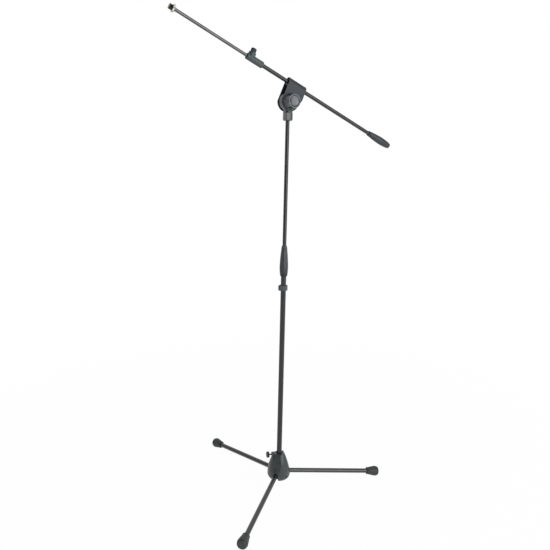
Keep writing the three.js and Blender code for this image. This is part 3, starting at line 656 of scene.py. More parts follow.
# Hub: a bell with a shallow flute above each leg, a slot for each leg, pockets underneath, and
# a lug for the clamping screw
hub = {
    "bottomTuck": 13 * mm, "bottomRise": 6 * mm, "bellyRise": 26 * mm, "rimRadius": 22 * mm,
    "wall": 8.5 * mm, "coreRadius": 13.5 * mm, "crown": 32 * mm, "fluteDepth": 5.2 * mm,
    "fluteNarrow": 3.0, "fluteFoot": 26 * mm, "fluteFade": 34 * mm, "slotPlay": 0.6 * mm,
    "slotCheek": 4 * mm, "lugReach": 28.5 * mm, "lugHalf": 7.2 * mm, "lugEdge": 2.4 * mm,
    "pinHole": 2.8 * mm, "grain": 0.9 * mm, "passes": 5, "keep": 0.42,
}
hubPlace = placeAt((mastX, mastY, 0), (0, 0, 1), legPlaces[1].col[2].to_3d())
hubSize = measure(mastPlace, "hub_casting")
sleeveSize = measure(mastPlace, "hub_sleeve")
tubeSize = measure(mastPlace, "lower_tube")
legSize = measure(legPlaces[1], "leg_tube_1")
mastBore = sleeveSize["bore"]
hubBottom = hubSize["start"] + hub["bottomRise"]


def bellRadius(height, inset):
    belly = hubSize["start"] + hub["bellyRise"]
    widest = hubSize["radius"]
    if height < belly:
        below = (belly - height) / (belly - hubBottom)
        return widest - hub["bottomTuck"] * (1 - math.sqrt(max(0, 1 - below * below))) - inset
    above = (height - belly) / (sleeveSize["end"] - belly)
    return hub["rimRadius"] + (widest - hub["rimRadius"]) * math.cos(above * turn / 4) - inset


def bellMesh(name, top, inset, step):
    heights = ringsAlong(hubBottom - (inset > 0) * mm, top, step)
    outline = [(height, bellRadius(max(height, hubBottom), inset)) for height in heights]
    return turnedMesh(name, [(heights[0], 0), *outline, (heights[-1], 0)], 144)


def legSlotMesh(number, width, back):
    far = 2 * hubSize["radius"]
    arch = barMesh("arch", width, back, far)
    below = blockMesh("below", (-far, -width, back), (0, width, far))
    return moved(carved(arch, [below]), legPlaces[number])


def hubMesh():
    fluting = {
        "Count": 3, "Depth": hub["fluteDepth"], "Narrow": hub["fluteNarrow"],
        "Low": hubSize["start"] + hub["fluteFoot"], "Fade": hub["fluteFade"], "Bore": 10 * mm,
    }
    bell = withRidges(bellMesh("bell", sleeveSize["end"], 0, 1.5 * mm), hubPaint, fluting)
    moved(bell, hubPlace)
    rise = hubScrewPlace.translation.z
    half = hub["lugHalf"]
    lug = blockMesh("lug", (-half, -half, 0), (half, half, hub["lugReach"]))
    lug = moved(bevelled(lug, hub["lugEdge"]), hubScrewPlace)
    slotWidth = legSize["radius"] + hub["slotPlay"]
    back = measure(legPlaces[1], "leg_knuckle_1")["start"] - hub["slotPlay"]
    pocket = moved(bellMesh("pocket", sleeveSize["end"] - hub["crown"], hub["wall"], 3 * mm), hubPlace)
    core = moved(barMesh("core", hub["coreRadius"], 0, rise), mastPlace)
    cheeks = [legSlotMesh(number, slotWidth + hub["slotCheek"], 0) for number in legNumbers]
    pocket = carved(pocket, (), [core, *cheeks])
    seatFloor = sleeveSize["start"] - fitRoom
    seat = barMesh("seat", sleeveSize["radius"] + fitRoom, seatFloor, 2 * rise)
    screwHole = barMesh("screwHole", hub["pinHole"], 0, 2 * hub["lugReach"], 24)
    cutters = [
        pocket,
        moved(barMesh("bore", mastBore, 0, 2 * rise), mastPlace),
        moved(seat, mastPlace),
        moved(screwHole, hubScrewPlace),
    ]
    for number in legNumbers:
        cutters.append(legSlotMesh(number, slotWidth, back))
        hole = barMesh("pinHole", hub["pinHole"], -2 * hubSize["radius"], 2 * hubSize["radius"], 24)
        cutters.append(moved(hole, pinPlace(number)))
    return softened(carved(bell, [lug], cutters), hub["grain"], hub["passes"], hub["keep"])


def pinPlace(number):
    joint = joints[f"leg_fold_{number}"]
    return placeAt(joint["pos_m"], joint["axis"], (0, 0, 1))


addPiece("hubShell", hubMesh(), None, "base", "hub_paint", hubPaint, "hub_casting")
pipePiece("hubSleeve", "hub_sleeve", mastPlace, "base", "black_plastic", blackPlastic, 0.7 * mm)


def addPin(number):
    place = pinPlace(number)
    size = measure(place, f"leg_pin_{number}")
    start, end, radius = size["start"], size["end"], size["radius"]
    outline = [(start, 0), (start, radius), (end, radius), (end, 0)]
    mesh = turnedMesh("pin", rounded(outline, 0.8 * mm), 32)
    addPiece(f"legPin{number}", mesh, place, "base", "bright_steel", pinSteel, f"leg_pin_{number}")


screwThread = {"pitch": 0.8 * mm, "depth": 0.45 * mm}


# A knurled head with a dished outer face and a blind hole for its stud
def addThumbHead(name, node, place, body, look):
    size = measure(place, node)
    hole = look["hole"]
    dish = look["dish"]
    floor = size["start"] + (size["end"] - size["start"]) * 2 / 3
    inner = size["radius"] - look["edge"] * 2
    steps = ringsAlong(size["start"], size["end"], 0.9 * mm)[1:-1]
    outline = [
        (floor, 0), (floor, hole), (size["start"], hole), (size["start"], size["radius"]),
        (size["end"], size["radius"]), (size["end"], inner), (size["end"] - dish, inner * 0.6),
        (size["end"] - dish, 0),
    ]
    profile = rounded(outline, look["edge"])
    profile = refined(profile, 0.9 * mm)
    ridging = {
        "Count": look["knurls"], "Depth": look["knurlDepth"], "Sharp": look["sharp"], "Bore": inner,
        "Low": size["start"], "High": size["end"], "Fade": look["fade"],
    }
    mesh = withRidges(turnedMesh(name, profile, look["knurls"] * 6), look["finish"], ridging)
    addPiece(name, mesh, place, body, "black_plastic", look["finish"], node)


# Long straight sides of a profile cut into steps, so that a ridge can follow them
def refined(profile, step):
    made = [profile[0]]
    for (a, ra), (b, rb) in zip(profile, profile[1:]):
        count = max(1, math.ceil(math.hypot(b - a, rb - ra) / step))
        made += [(a + (b - a) * k / count, ra + (rb - ra) * k / count) for k in range(1, count + 1)]
    return made


hubKnobLook = {
    "hole": 2.8 * mm, "dish": 0.8 * mm, "edge": 1.3 * mm, "knurls": 24, "knurlDepth": 0.7 * mm,
    "sharp": 0, "fade": 2 * mm, "finish": blackPlastic,
}
threadedBar(
    "hubScrewStud", "hub_screw_stud", hubScrewPlace, "hub_screw", "bright_steel", darkScrew,
    screwThread["pitch"], screwThread["depth"],
)
addThumbHead("hubScrewKnob", "hub_screw_knob", hubScrewPlace, "hub_screw", hubKnobLook)

foot = {
    "setBack": 6 * mm, "endTrim": 2 * mm, "widest": 17.8 * mm, "neckWall": 4.2 * mm, "lip": 3.6 * mm,
    "groove": 1.2 * mm, "capLength": 9 * mm, "crease": 2.2 * mm, "creaseWidth": 2.8 * mm,
    "capInset": 1.3 * mm, "endWall": 11 * mm,
}


# Rubber foot: a lipped neck, a cone, a deep crease and a blunt cap, flat where it stands
def footMesh(number):
    node = f"leg_foot_{number}"
    size = measure(legPlaces[number], node)
    start = size["start"] + foot["setBack"]
    end = size["end"] - foot["endTrim"]
    widest = foot["widest"]
    bore = legSize["radius"] + fitRoom
    neck = bore + foot["neckWall"]
    floor = end - foot["endWall"]
    band = end - foot["capLength"]
    cap = band + foot["creaseWidth"]
    capRadius = widest - foot["capInset"]
    socket = rounded([(floor, 0), (floor, bore), (start, bore), (start, neck)], 0.6 * mm)
    lip = [
        (start + 0.3 * foot["lip"], neck + 0.35 * mm), (start + 0.8 * foot["lip"], neck + 0.3 * mm),
        (start + foot["lip"], neck - 0.1 * mm), (start + foot["lip"] + 0.6 * mm, neck - foot["groove"]),
        (start + foot["lip"] + 1.3 * mm, neck - 0.2 * mm), (start + foot["lip"] + 2.1 * mm, neck + 0.3 * mm),
    ]
    middle = (start + band) / 2
    cone = curveThrough(
        [
            lip[-1], (middle, (neck + widest) / 2 + 0.3 * mm), (band - 4 * mm, widest - 0.2 * mm),
            (band - 0.8 * mm, widest - 0.1 * mm), (band, widest - 0.9 * mm),
        ],
        6,
    )[1:]
    crease = [
        (band + 0.35 * foot["creaseWidth"], widest - foot["crease"]),
        (band + 0.65 * foot["creaseWidth"], widest - foot["crease"]), (cap, capRadius - 0.4 * mm),
    ]
    dome = curveThrough(
        [
            crease[-1], (cap + 0.8 * mm, capRadius), (end - 2.6 * mm, capRadius - 1.2 * mm),
            (end - 0.8 * mm, capRadius * 0.78), (end - 0.1 * mm, capRadius * 0.4), (end, 0),
        ],
        6,
    )[1:]
    mesh = turnedMesh(node, [*socket, *lip, *cone, *crease, *dome], 80)
    moved(mesh, legPlaces[number])
    for vertex in mesh.vertices:
        vertex.co.z = max(vertex.co.z, 0)
    return mesh


# A merged and bevelled copy of a CAD node
def edgedCopy(node, width, angle=32):
    mesh = frame["nodes"][node].data.copy()
    holder = holderOf(mesh)
    weld = holder.modifiers.new("weld", "WELD")
    weld.merge_threshold = 0.002 * mm
    flat = holder.modifiers.new("flat", "DECIMATE")
    flat.decimate_type = "DISSOLVE"
    flat.angle_limit = math.radians(1)
    return bevelled(evaluated(holder), width, angle, 2)


def addLeg(number):
    body = f"leg_{number}"
    pipePiece(f"legTube{number}", f"leg_tube_{number}", legPlaces[number], body, "tube_black", legPaint)
    mesh = edgedCopy(f"leg_knuckle_{number}", 0.5 * mm)
    name = f"legKnuckle{number}"
    addPiece(name, mesh, None, body, "knuckle_metal", knucklePaint, f"leg_knuckle_{number}")
    mesh = footMesh(number)
    addPiece(f"legFoot{number}", mesh, None, body, "foot_rubber", footRubber, f"leg_foot_{number}")


for legNumber in legNumbers:
    addPin(legNumber)
    addLeg(legNumber)

print("stage: mast")
pipePiece("lowerTube", "lower_tube", mastPlace, "lower_mast", "tube_black", tubePaint)
pipePiece("upperTube", "upper_tube", mastPlace, "upper_mast", "tube_black", tubePaint)


def addTubePlug():
    size = measure(mastPlace, "lower_tube_plug")
    flange = tubeSize["start"] - fitRoom
    spigot = tubeSize["bore"] - fitRoom
    outline = [
        (size["start"], 0), (size["start"], size["radius"]), (flange, size["radius"]), (flange, spigot),
        (size["end"], spigot), (size["end"], 0),
    ]
    mesh = turnedMesh("plug", rounded(outline, 0.9 * mm), 64)
    node = "lower_tube_plug"
    addPiece("lowerTubePlug", mesh, mastPlace, "lower_mast", "black_plastic", blackPlastic, node)


addTubePlug()

# Cable clip: a ring round the tube with a hook for the cable, its top and bottom edges chamfered
clip = {
    "wall": 5.1 * mm, "channel": 3.15 * mm, "channelAt": 13.65 * mm, "hook": 5.45 * mm,
    "mouth": 4.4 * mm, "edge": 1.9 * mm, "grain": 0.42 * mm, "passes": 3, "keep": 0.4,
}


def clipMesh():
    low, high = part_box("cable_clip")
    middle = (low + high) / 2
    place = placeAt((mastX, mastY, low.z), (0, 0, 1), (middle.x - mastX, middle.y - mastY, 0))
    height = high.z - low.z
    ring = mastBore + clip["wall"]
    lean = math.acos((ring - clip["hook"]) / clip["channelAt"])
    outline = []
    for k in range(49):
        angle = lean + (turn - 2 * lean) * k / 48
        outline.append((ring * math.cos(angle), ring * math.sin(angle)))
    for k in range(25):
        angle = -lean + 2 * lean * k / 24
        outline.append((clip["channelAt"] + clip["hook"] * math.cos(angle), clip["hook"] * math.sin(angle)))
    body = bevelled(slabMesh("clip", outline, 0, height), clip["edge"], 60, 2)
    hookAt = clip["channelAt"]
    channel = barMesh("channel", clip["channel"], -height, 2 * height)
    moved(channel, Matrix.Translation((hookAt, 0, 0)))
    half = clip["mouth"] / 2
    mouth = blockMesh("mouth", (hookAt, -half, -height), (3 * hookAt, half, 2 * height))
    cutters = [barMesh("bore", mastBore, -height, 2 * height), channel, mouth]
    return moved(softened(carved(body, (), cutters), clip["grain"], clip["passes"], clip["keep"]), place)


addPiece("cableClip", clipMesh(), None, "cable_clip", "black_plastic", clipPlastic, "cable_clip")

# Twist clutch: a foot ring and sleeve on the lower tube, a six-sided spindle grip and a cap
clutch = {
    "footHeight": 9.7 * mm, "footStep": 2.3 * mm, "sleeveWall": 2.1 * mm, "gripLow": 13.2 * mm,
    "gripWide": 14.9 * mm, "gripTop": 9.8 * mm, "tipRoom": 9 * mm,
    "lip": 0.6 * mm, "flats": 6, "flatDepth": 1.15 * mm, "flatFade": 13 * mm, "flatTurn": 18,
    "capHeight": 6.7 * mm, "capStep": 1.3 * mm, "footEdge": 0.8 * mm, "capEdge": 0.6 * mm,
}


def addClutch():
    base = measure(mastPlace, "clutch_base")
    grip = measure(mastPlace, "clutch_grip")
    cap = measure(mastPlace, "clutch_cap")
    coneTop = measure(mastPlace, "clutch_collet")["end"]
    sleeve = mastBore + clutch["sleeveWall"]
    seat = base["start"] + clutch["footHeight"]
    outline = [
        (base["start"], mastBore), (base["start"], base["radius"] - clutch["footStep"]),
        (base["start"] + 0.6 * clutch["footHeight"], base["radius"]), (seat, base["radius"]),
        (seat, sleeve), (base["end"], sleeve), (base["end"], mastBore),
    ]
    mesh = turnedMesh("base", rounded(outline, clutch["footEdge"], closed=True), 64, closed=True)
    addPiece("clutchBase", mesh, mastPlace, "lower_mast", "black_plastic", blackPlastic, "clutch_base")

    bottom = grip["start"]
    length = grip["end"] - bottom
    shoulder = 0.6 * clutch["gripWide"] + 0.4 * clutch["gripTop"]
    lip = clutch["lip"]
    outside = curveThrough(
        [
            (bottom + lip, clutch["gripLow"]), (bottom + 0.24 * length, clutch["gripWide"]),
            (bottom + 0.68 * length, shoulder), (grip["end"] - lip, clutch["gripTop"]),
        ],
        16,
    )
    room = sleeve + fitRoom
    profile = [
        (bottom, room), (bottom, clutch["gripLow"] - lip), *outside,
        (grip["end"], clutch["gripTop"] - lip), (grip["end"], grip["bore"]),
        (coneTop + fitRoom, grip["bore"]), (coneTop + fitRoom, clutch["tipRoom"]), (base["end"], room),
    ]
    flats = {
        "Count": clutch["flats"], "Depth": clutch["flatDepth"], "Low": bottom + 1 * mm,
        "High": grip["end"], "Fade": clutch["flatFade"], "Bore": clutch["gripTop"] - 1 * mm,
    }
    spin = Matrix.Rotation(math.radians(clutch["flatTurn"]), 4, "Z")
    mesh = withRidges(turnedMesh("grip", profile, 96, closed=True), gripRubber, flats)
    addPiece("clutchGrip", mesh, mastPlace @ spin, "clutch_grip", "grip_rubber", gripRubber, "clutch_grip")

    ledge = cap["start"] + 0.4 * clutch["capHeight"]
    outline = [
        (cap["start"], cap["bore"]), (cap["start"], cap["radius"]), (ledge, cap["radius"]),
        (cap["end"], cap["radius"] - clutch["capStep"]), (cap["end"], cap["bore"]),
    ]
    mesh = turnedMesh("cap", rounded(outline, clutch["capEdge"], closed=True), 64, closed=True)
    addPiece("clutchCap", mesh, mastPlace, "clutch_grip", "black_plastic", collarPlastic, "clutch_cap")


addClutch()

print("stage: clamp head")
head = {
    "socketHeight": 25 * mm, "socketCorner": 16.3 * mm, "socketChamfer": 3 * mm, "neckRadius": 13.5 * mm,
    "shoulder": 1.5 * mm, "earRadius": 28 * mm, "earEdge": 1.2 * mm, "threadRoom": 5.06 * mm,
    "boltRoom": 4.3 * mm, "tubeDepth": 11.5 * mm, "threadDepth": 22 * mm, "grain": 0.6 * mm, "passes": 3,
    "keep": 0.4,
}


def headMesh():
    size = measure(mastPlace, "head_body")
    bottom = size["start"]
    top = bottom + head["socketHeight"]
    corner = head["socketCorner"]
    neck = head["neckRadius"]
    half = measure(clampPlace, "friction_disc_front")["start"] - fitRoom
    socket = turnedMesh(
        "socket",
        [
            (bottom, 0), (bottom, corner - head["socketChamfer"]), (bottom + head["socketChamfer"], corner),
            (top, corner), (top + head["shoulder"], neck), (top + head["shoulder"], 0),
        ],
        8,
    )
    stem = barMesh("stem", neck, bottom + 2 * head["socketChamfer"], pivot.z - head["earRadius"] * 0.9, 64)
    upright = placeAt(pivot, knobWay, (0, 0, 1))
    outline = []
    shoulder = math.asin(neck / head["earRadius"])
    for k in range(61):
        angle = shoulder - turn / 2 + (turn - 2 * shoulder) * k / 60
        outline.append((head["earRadius"] * math.cos(angle), head["earRadius"] * math.sin(angle)))
    outline += [(top - pivot.z, neck), (top - pivot.z, -neck)]
    ear = moved(bevelled(slabMesh("ear", outline, -half, half), head["earEdge"], 60, 3), upright)
    tubeRoom = measure(mastPlace, "upper_tube")["radius"] + fitRoom
    cutters = [
        moved(barMesh("tubeRoom", tubeRoom, bottom - 10 * mm, bottom + head["tubeDepth"]), mastPlace),
        moved(barMesh("threadRoom", head["threadRoom"], bottom, bottom + head["threadDepth"]), mastPlace),
        moved(barMesh("boltRoom", head["boltRoom"], -2 * half, 2 * half), upright),
    ]
    solid = carved(moved(socket, mastPlace), [moved(stem, mastPlace), ear], cutters)
    return softened(solid, head["grain"], head["passes"], head["keep"])


addPiece("headBody", headMesh(), None, "upper_mast", "hub_paint", headPaint, "head_body")
discNodes = {"frictionDiscFront": "friction_disc_front", "frictionDiscBack": "friction_disc_back"}
for discName, discNode in discNodes.items():
    pipePiece(discName, discNode, clampPlace, "upper_mast", "pale_plastic", palePlastic)

# Bracket: one sheet folded over the boom, its grip-side edge running down to the round end
bracket = {
    "plate": 2.5 * mm, "cornerRise": 22 * mm, "tipTrim": 2 * mm, "edge": 0.55 * mm, "boltRoom": 4.3 * mm,
    "columns": 14, "rows": 16, "foldRows": 24,
}


def bracketMesh():
    size = measure(bracketPlace, "boom_bracket")
    tipEdge = size["high"][0] - bracket["tipTrim"]
    gripEdge = size["low"][0]
    half = size["high"][1]
    roundEnd = -size["low"][2]
    corner = Vector((gripEdge, bracket["cornerRise"]))
    tangent = math.atan2(corner.y, corner.x) + math.acos(roundEnd / corner.length)
    leaves = Vector((roundEnd * math.cos(tangent), roundEnd * math.sin(tangent)))
    count = bracket["rows"]
    first = 0.03  # radians past the lowest point, where the sheet has no width
    rows = [-roundEnd * math.cos(first + (turn / 4 - first) * k / count) for k in range(count + 1)]
    rows += [boomRise * k / count for k in range(1, count + 1)]
    rows = sorted({*rows, corner.y, leaves.y})

    # Where the sheet begins and ends along the boom, at a height above the pivot
    def edges(height):
        across = math.sqrt(max(0, roundEnd**2 - height**2))
        tip = tipEdge if height >= 0 else min(tipEdge, across)
        if height >= corner.y:
            return gripEdge, tip
        if height >= leaves.y:
            share = (height - leaves.y) / (corner.y - leaves.y)
            return leaves.x + (corner.x - leaves.x) * share, tip
        return -across, tip

    stations = [(half, height, edges(height)) for height in rows]
    for k in range(1, bracket["foldRows"]):
        angle = turn / 2 * k / bracket["foldRows"]
        stations.append((half * math.cos(angle), boomRise + half * math.sin(angle), (gripEdge, tipEdge)))
    stations += [(-half, height, edges(height)) for height in reversed(rows)]
    columns = bracket["columns"]
    vertices = []
    for y, z, (left, right) in stations:
        vertices += [(left + (right - left) * k / columns, y, z) for k in range(columns + 1)]
    faces = []
    for row in range(len(stations) - 1):
        for k in range(columns):
            a = row * (columns + 1) + k
            faces.append((a, a + 1, a + columns + 2, a + columns + 1))
    sheet = bpy.data.meshes.new("sheet")
    sheet.from_pydata(vertices, [], faces)
    holder = holderOf(sheet)
    thick = holder.modifiers.new("thick", "SOLIDIFY")
    thick.thickness = bracket["plate"]
    thick.offset = -1
    plate = evaluated(holder)
    faceOutwards(plate)
    across = placeAt((0, 0, 0), (0, 1, 0), (1, 0, 0))
    hole = moved(barMesh("hole", bracket["boltRoom"], -2 * half, 2 * half, 48), across)
    return carved(bevelled(plate, bracket["edge"], 50, 3), (), [hole])


addPiece(
    "boomBracket", bracketMesh(), bracketPlace, "bracket", "bracket_paint", bracketPaint, "boom_bracket"
)


# Liner: an arch of plastic between the bracket and the boom
liner = {"tipTrim": 3 * mm, "edge": 0.4 * mm, "archSteps": 32}


def linerMesh():
    size = measure(bracketPlace, "bracket_liner")
    half = size["high"][1]
    start = size["low"][0]
    end = size["high"][0] - liner["tipTrim"]
    drop = size["low"][2] - boomRise
    outline = [(drop, half), (drop, -half)]
    for k in range(liner["archSteps"] + 1):
        angle = turn / 2 * k / liner["archSteps"]
        outline.append((half * math.sin(angle), -half * math.cos(angle)))
    easing = liner["edge"]
    body = bevelled(slabMesh("saddle", outline, start, end), easing, 40, 2)
    room = measure(boomPlace, "boom_tube")["radius"] + fitRoom
    wide = room + easing + mm
    bore = turnedMesh(
        "bore",
        [
            (start - mm, 0), (start - mm, wide), (start + easing, room),
            (end - easing, room), (end + mm, wide), (end + mm, 0),
        ],
    )
    return moved(carved(body, (), [bore]), placeAt((0, 0, boomRise), (1, 0, 0), (0, 0, 1)))


# the liner keeps the pale plastic slot, its colour darkened as painted shade
addPiece("bracketLiner", linerMesh(), bracketPlace, "bracket", "pale_plastic", shadedLinerPlastic, "bracket_liner")
pipePiece("clampWasher", "clamp_washer", clampPlace, "bracket", "bright_steel", boltSteel)


# Bolt through the clamp: a chamfered hexagon head at the back
bolt = {
    "headHeight": 5.2 * mm, "shank": 4 * mm, "shankEdge": 0.8 * mm, "overlap": 1 * mm,
    "chamfer": 1.3 * mm, "cornerEdge": 0.25 * mm,
}


def boltMesh():
    size = measure(clampPlace, "clamp_bolt")
    seat = size["start"]
    top = seat + bolt["headHeight"]
    corner = size["radius"]
    flats = corner * math.cos(turn / 12)
    wide = corner * 1.02
    hexagon = bevelled(barMesh("hexagon", corner, seat, top, 6), bolt["cornerEdge"], 25, 2)
    outline = [(seat, 0), (seat, flats * 0.96), (seat + bolt["chamfer"], wide), (top, wide), (top, 0)]
    dome = turnedMesh("dome", outline, 64)
    holder = holderOf(hexagon)
    tool = holderOf(dome)
    modifier = holder.modifiers.new("chamfer", "BOOLEAN")
    modifier.operation = "INTERSECT"
    modifier.solver = "MANIFOLD"
    modifier.object = tool
    chamfered = evaluated(holder)
    bpy.data.objects.remove(tool)
    start = seat + bolt["overlap"]
    end = size["end"]
    outline = [(start, 0), (start, bolt["shank"]), (end, bolt["shank"]), (end, 0)]
    shank = turnedMesh("shank", rounded(outline, bolt["shankEdge"]), 48)
    return carved(chamfered, [shank])


addPiece("clampBolt", boltMesh(), clampPlace, "bracket", "bright_steel", boltSteel, "clamp_bolt")

knob = {
    "flange": 4 * mm, "faceRadius": 21.5 * mm, "foot": 2 * mm, "rim": 3.2 * mm, "dish": 4.2 * mm,
    "insertRoom": 7.3 * mm, "insertDepth": 19.9 * mm, "scallops": 12, "scallopDepth": 0.8 * mm,
}


def knobMesh():
    size = measure(clampPlace, "clamp_knob")
    start = size["start"]
    end = size["end"]
    face = knob["faceRadius"]
    floor = start + knob["insertDepth"]
    dish = curveThrough(
        [
            (end - 0.1 * mm, face - knob["rim"]), (end - 0.6 * knob["dish"], face * 0.72),
            (end - 0.95 * knob["dish"], face * 0.35), (end - knob["dish"], 0),
        ],
        8,
    )
    outline = [
        (floor, 0), (floor, knob["insertRoom"]), (start, knob["insertRoom"]), (start, size["radius"]),
        (start + knob["flange"], size["radius"]), (start + knob["flange"] + 1 * mm, face + knob["foot"]),
        (end, face), (end, face - knob["rim"]),
    ]
    profile = refined(rounded(outline, 1.2 * mm), 1.2 * mm) + dish[1:]
    scallops = {
        "Count": knob["scallops"], "Depth": knob["scallopDepth"], "Low": start + knob["flange"] + 1.5 * mm,
        "High": end - 1.5 * mm, "Fade": 4 * mm, "Bore": face - 1.5 * mm, "Narrow": 1.6,
    }
    return withRidges(turnedMesh("knob", profile, 144), knobPlastic, scallops)


addPiece("clampKnob", knobMesh(), clampPlace, "clamp_knob", "black_plastic", knobPlastic, "clamp_knob")

print("stage: boom")
pipePiece("boomTube", "boom_tube", boomPlace, "boom", "tube_black", tubePaint)
pipePiece("boomRod", "boom_rod", boomPlace, "rod", "tube_black", rodPaint)

grip = {
    "mouth": 8.5 * mm, "bead": 4.5 * mm, "groove": 0.9 * mm, "widest": 12.7 * mm, "tail": 9.2 * mm,
}


def gripMesh():
    size = measure(boomPlace, "boom_grip")
    start = size["end"]
    end = size["start"]
    length = start - end
    bore = measure(boomPlace, "boom_tube")["radius"] + fitRoom
    floor = measure(boomPlace, "boom_tube")["start"] - fitRoom
    socket = rounded([(floor, 0), (floor, bore), (start, bore), (start, grip["mouth"])], 0.5 * mm)
    bead = start - grip["bead"]
    ring = [
        (start - 0.8 * mm, grip["mouth"] + 0.3 * mm), (bead + 1 * mm, grip["mouth"] + 0.35 * mm),
        (bead + 0.2 * mm, grip["mouth"] - 0.1 * mm), (bead - 0.5 * mm, grip["mouth"] - grip["groove"]),
        (bead - 1.4 * mm, grip["mouth"] - 0.1 * mm), (bead - 2.2 * mm, grip["mouth"] + 0.5 * mm),
    ]
    outside = curveThrough(
        [
            ring[-1], (start - 0.3 * length, 0.9 * grip["widest"]), (start - 0.6 * length, grip["widest"]),
            (start - 0.85 * length, 0.89 * grip["widest"]), (end + 3.2 * mm, grip["tail"]),
            (end + 0.8 * mm, grip["tail"] * 0.83), (end, grip["tail"] * 0.6), (end, 0),
        ],
        10,
    )[1:]
    return turnedMesh("boomGrip", [*socket, *ring, *outside], 80)


addPiece("boomGrip", gripMesh(), boomPlace, "boom", "grip_rubber", gripRubber, "boom_grip")

# Collar: a sleeve over the end of the boom tube with a boss for its clamping screw
collar = {
    "radius": 10.3 * mm, "boss": 11.6 * mm, "bossHeight": 17.2 * mm, "edge": 1.3 * mm, "screwRoom": 2.8 * mm,
    "grain": 0.5 * mm, "passes": 3, "keep": 0.42,
}


def collarMesh():
    size = measure(boomPlace, "boom_collar")
    start = size["start"]
    end = size["end"]
    radius = collar["radius"]
    tube = measure(boomPlace, "boom_tube")
    rod = measure(boomPlace, "boom_rod")
    outline = [(start, 0), (start, radius), (end, radius), (end, 0)]
    sleeve = moved(turnedMesh("sleeve", rounded(outline, collar["edge"]), 72), boomPlace)
    boss = [(0, 0), (0, collar["boss"]), (collar["bossHeight"], collar["boss"]), (collar["bossHeight"], 0)]
    boss = moved(turnedMesh("boss", rounded(boss, collar["edge"]), 72), collarScrewPlace)
    cutters = [
        moved(barMesh("tubeRoom", tube["radius"] + fitRoom, start - mm, tube["end"] + fitRoom), boomPlace),
        moved(barMesh("rodRoom", rod["radius"] + fitRoom, start, end + mm), boomPlace),
        moved(barMesh("screwRoom", collar["screwRoom"], 0, 2 * collar["bossHeight"], 32), collarScrewPlace),
    ]
    return softened(carved(sleeve, [boss], cutters), collar["grain"], collar["passes"], collar["keep"])


addPiece("boomCollar", collarMesh(), None, "boom", "black_plastic", collarPlastic, "boom_collar")
collarKnobLook = {**hubKnobLook, "knurls": 18, "knurlDepth": 0.6 * mm, "edge": 2 * mm, "fade": 3 * mm}
threadedBar(
    "collarScrewStud", "collar_screw_stud", collarScrewPlace, "collar_screw", "bright_steel",
    collarScrewSteel,
    screwThread["pitch"], screwThread["depth"],
)
addThumbHead("collarScrewKnob", "collar_screw_knob", collarScrewPlace, "collar_screw", collarKnobLook)

# Microphone thread: a ring and stud in the rod, a lock nut, and a threaded adapter
inch = 25.4 * mm
tip = {
    "studPitch": inch / 16, "studDepth": 0.85 * mm, "adapterPitch": inch / 27, "adapterDepth": 0.55 * mm,
    "studRadius": 4.76 * mm, "ring": 3.4 * mm, "knurls": 48, "knurlDepth": 0.4 * mm, "recess": 0.6 * mm,
}


def addTip():
    fitting = measure(boomPlace, "tip_fitting")
    rod = measure(boomPlace, "boom_rod")
    nut = measure(boomPlace, "lock_nut")
    adapter = measure(boomPlace, "thread_adapter")
    ringStart = rod["end"] + fitRoom
    ringEnd = ringStart + tip["ring"]
    spigot = rod["bore"] - fitRoom
    body = rounded(
        [
            (fitting["start"], 0), (fitting["start"], spigot), (ringStart, spigot),
            (ringStart, fitting["radius"]), (ringEnd, fitting["radius"]), (ringEnd, tip["studRadius"]),
        ],
        0.5 * mm,
    )
    rings = ringsAlong(ringEnd, fitting["end"], tip["studPitch"] / 8)[1:]
    body += [(along, tip["studRadius"]) for along in rings] + [(rings[-1], 0)]
    threading = {
        "Count": -1, "Pitch": tip["studPitch"], "Depth": tip["studDepth"], "Sharp": 1,
        "Low": ringEnd + 0.5 * mm, "High": 1, "Fade": 0.5 * mm, "Bore": 2 * mm,
    }
    mesh = withRidges(turnedMesh("fitting", body, 48), threadBlack, threading)
    addPiece("tipFitting", mesh, boomPlace, "rod", "black_steel", threadBlack, "tip_fitting", smoothTo=50)

    outerRings = ringsAlong(adapter["start"], adapter["end"], tip["adapterPitch"] / 8)
    innerRings = ringsAlong(adapter["start"], adapter["end"], 2 * mm)[::-1]
    outside = [(along, adapter["radius"]) for along in outerRings]
    inside = [(along, adapter["bore"]) for along in innerRings]
    threading = {
        "Count": -1, "Pitch": tip["adapterPitch"], "Depth": tip["adapterDepth"], "Sharp": 1,
        "Low": adapter["start"], "High": adapter["end"] + 0.4 * mm, "Fade": 0.8 * mm, "Bore": 7 * mm,
    }
    mesh = withRidges(turnedMesh("adapter", outside + inside, 64, closed=True), threadBlack, threading)
    addPiece(
        "threadAdapter", mesh, boomPlace, "rod", "black_steel", threadBlack, "thread_adapter", smoothTo=50
    )

    room = adapter["radius"] + fitRoom
    outline = [
        (nut["start"], nut["bore"]), (nut["start"], nut["radius"]), (nut["end"], nut["radius"]),
        (nut["end"], room), (nut["end"] - tip["recess"], room), (nut["end"] - tip["recess"], nut["bore"]),
    ]
    profile = refined(rounded(outline, 0.5 * mm, closed=True), 0.8 * mm)
    knurling = {
        "Count": tip["knurls"], "Depth": tip["knurlDepth"], "Sharp": 1, "Bore": nut["radius"] - 1 * mm,
        "Low": nut["start"] + 0.2 * mm, "High": nut["end"] - 0.2 * mm, "Fade": 0.6 * mm,
    }
    mesh = withRidges(turnedMesh("nut", profile, tip["knurls"] * 6, closed=True), nutPlate, knurling)
    addPiece("lockNut", mesh, boomPlace, "lock_nut", "bright_steel", nutPlate, "lock_nut")


addTip()

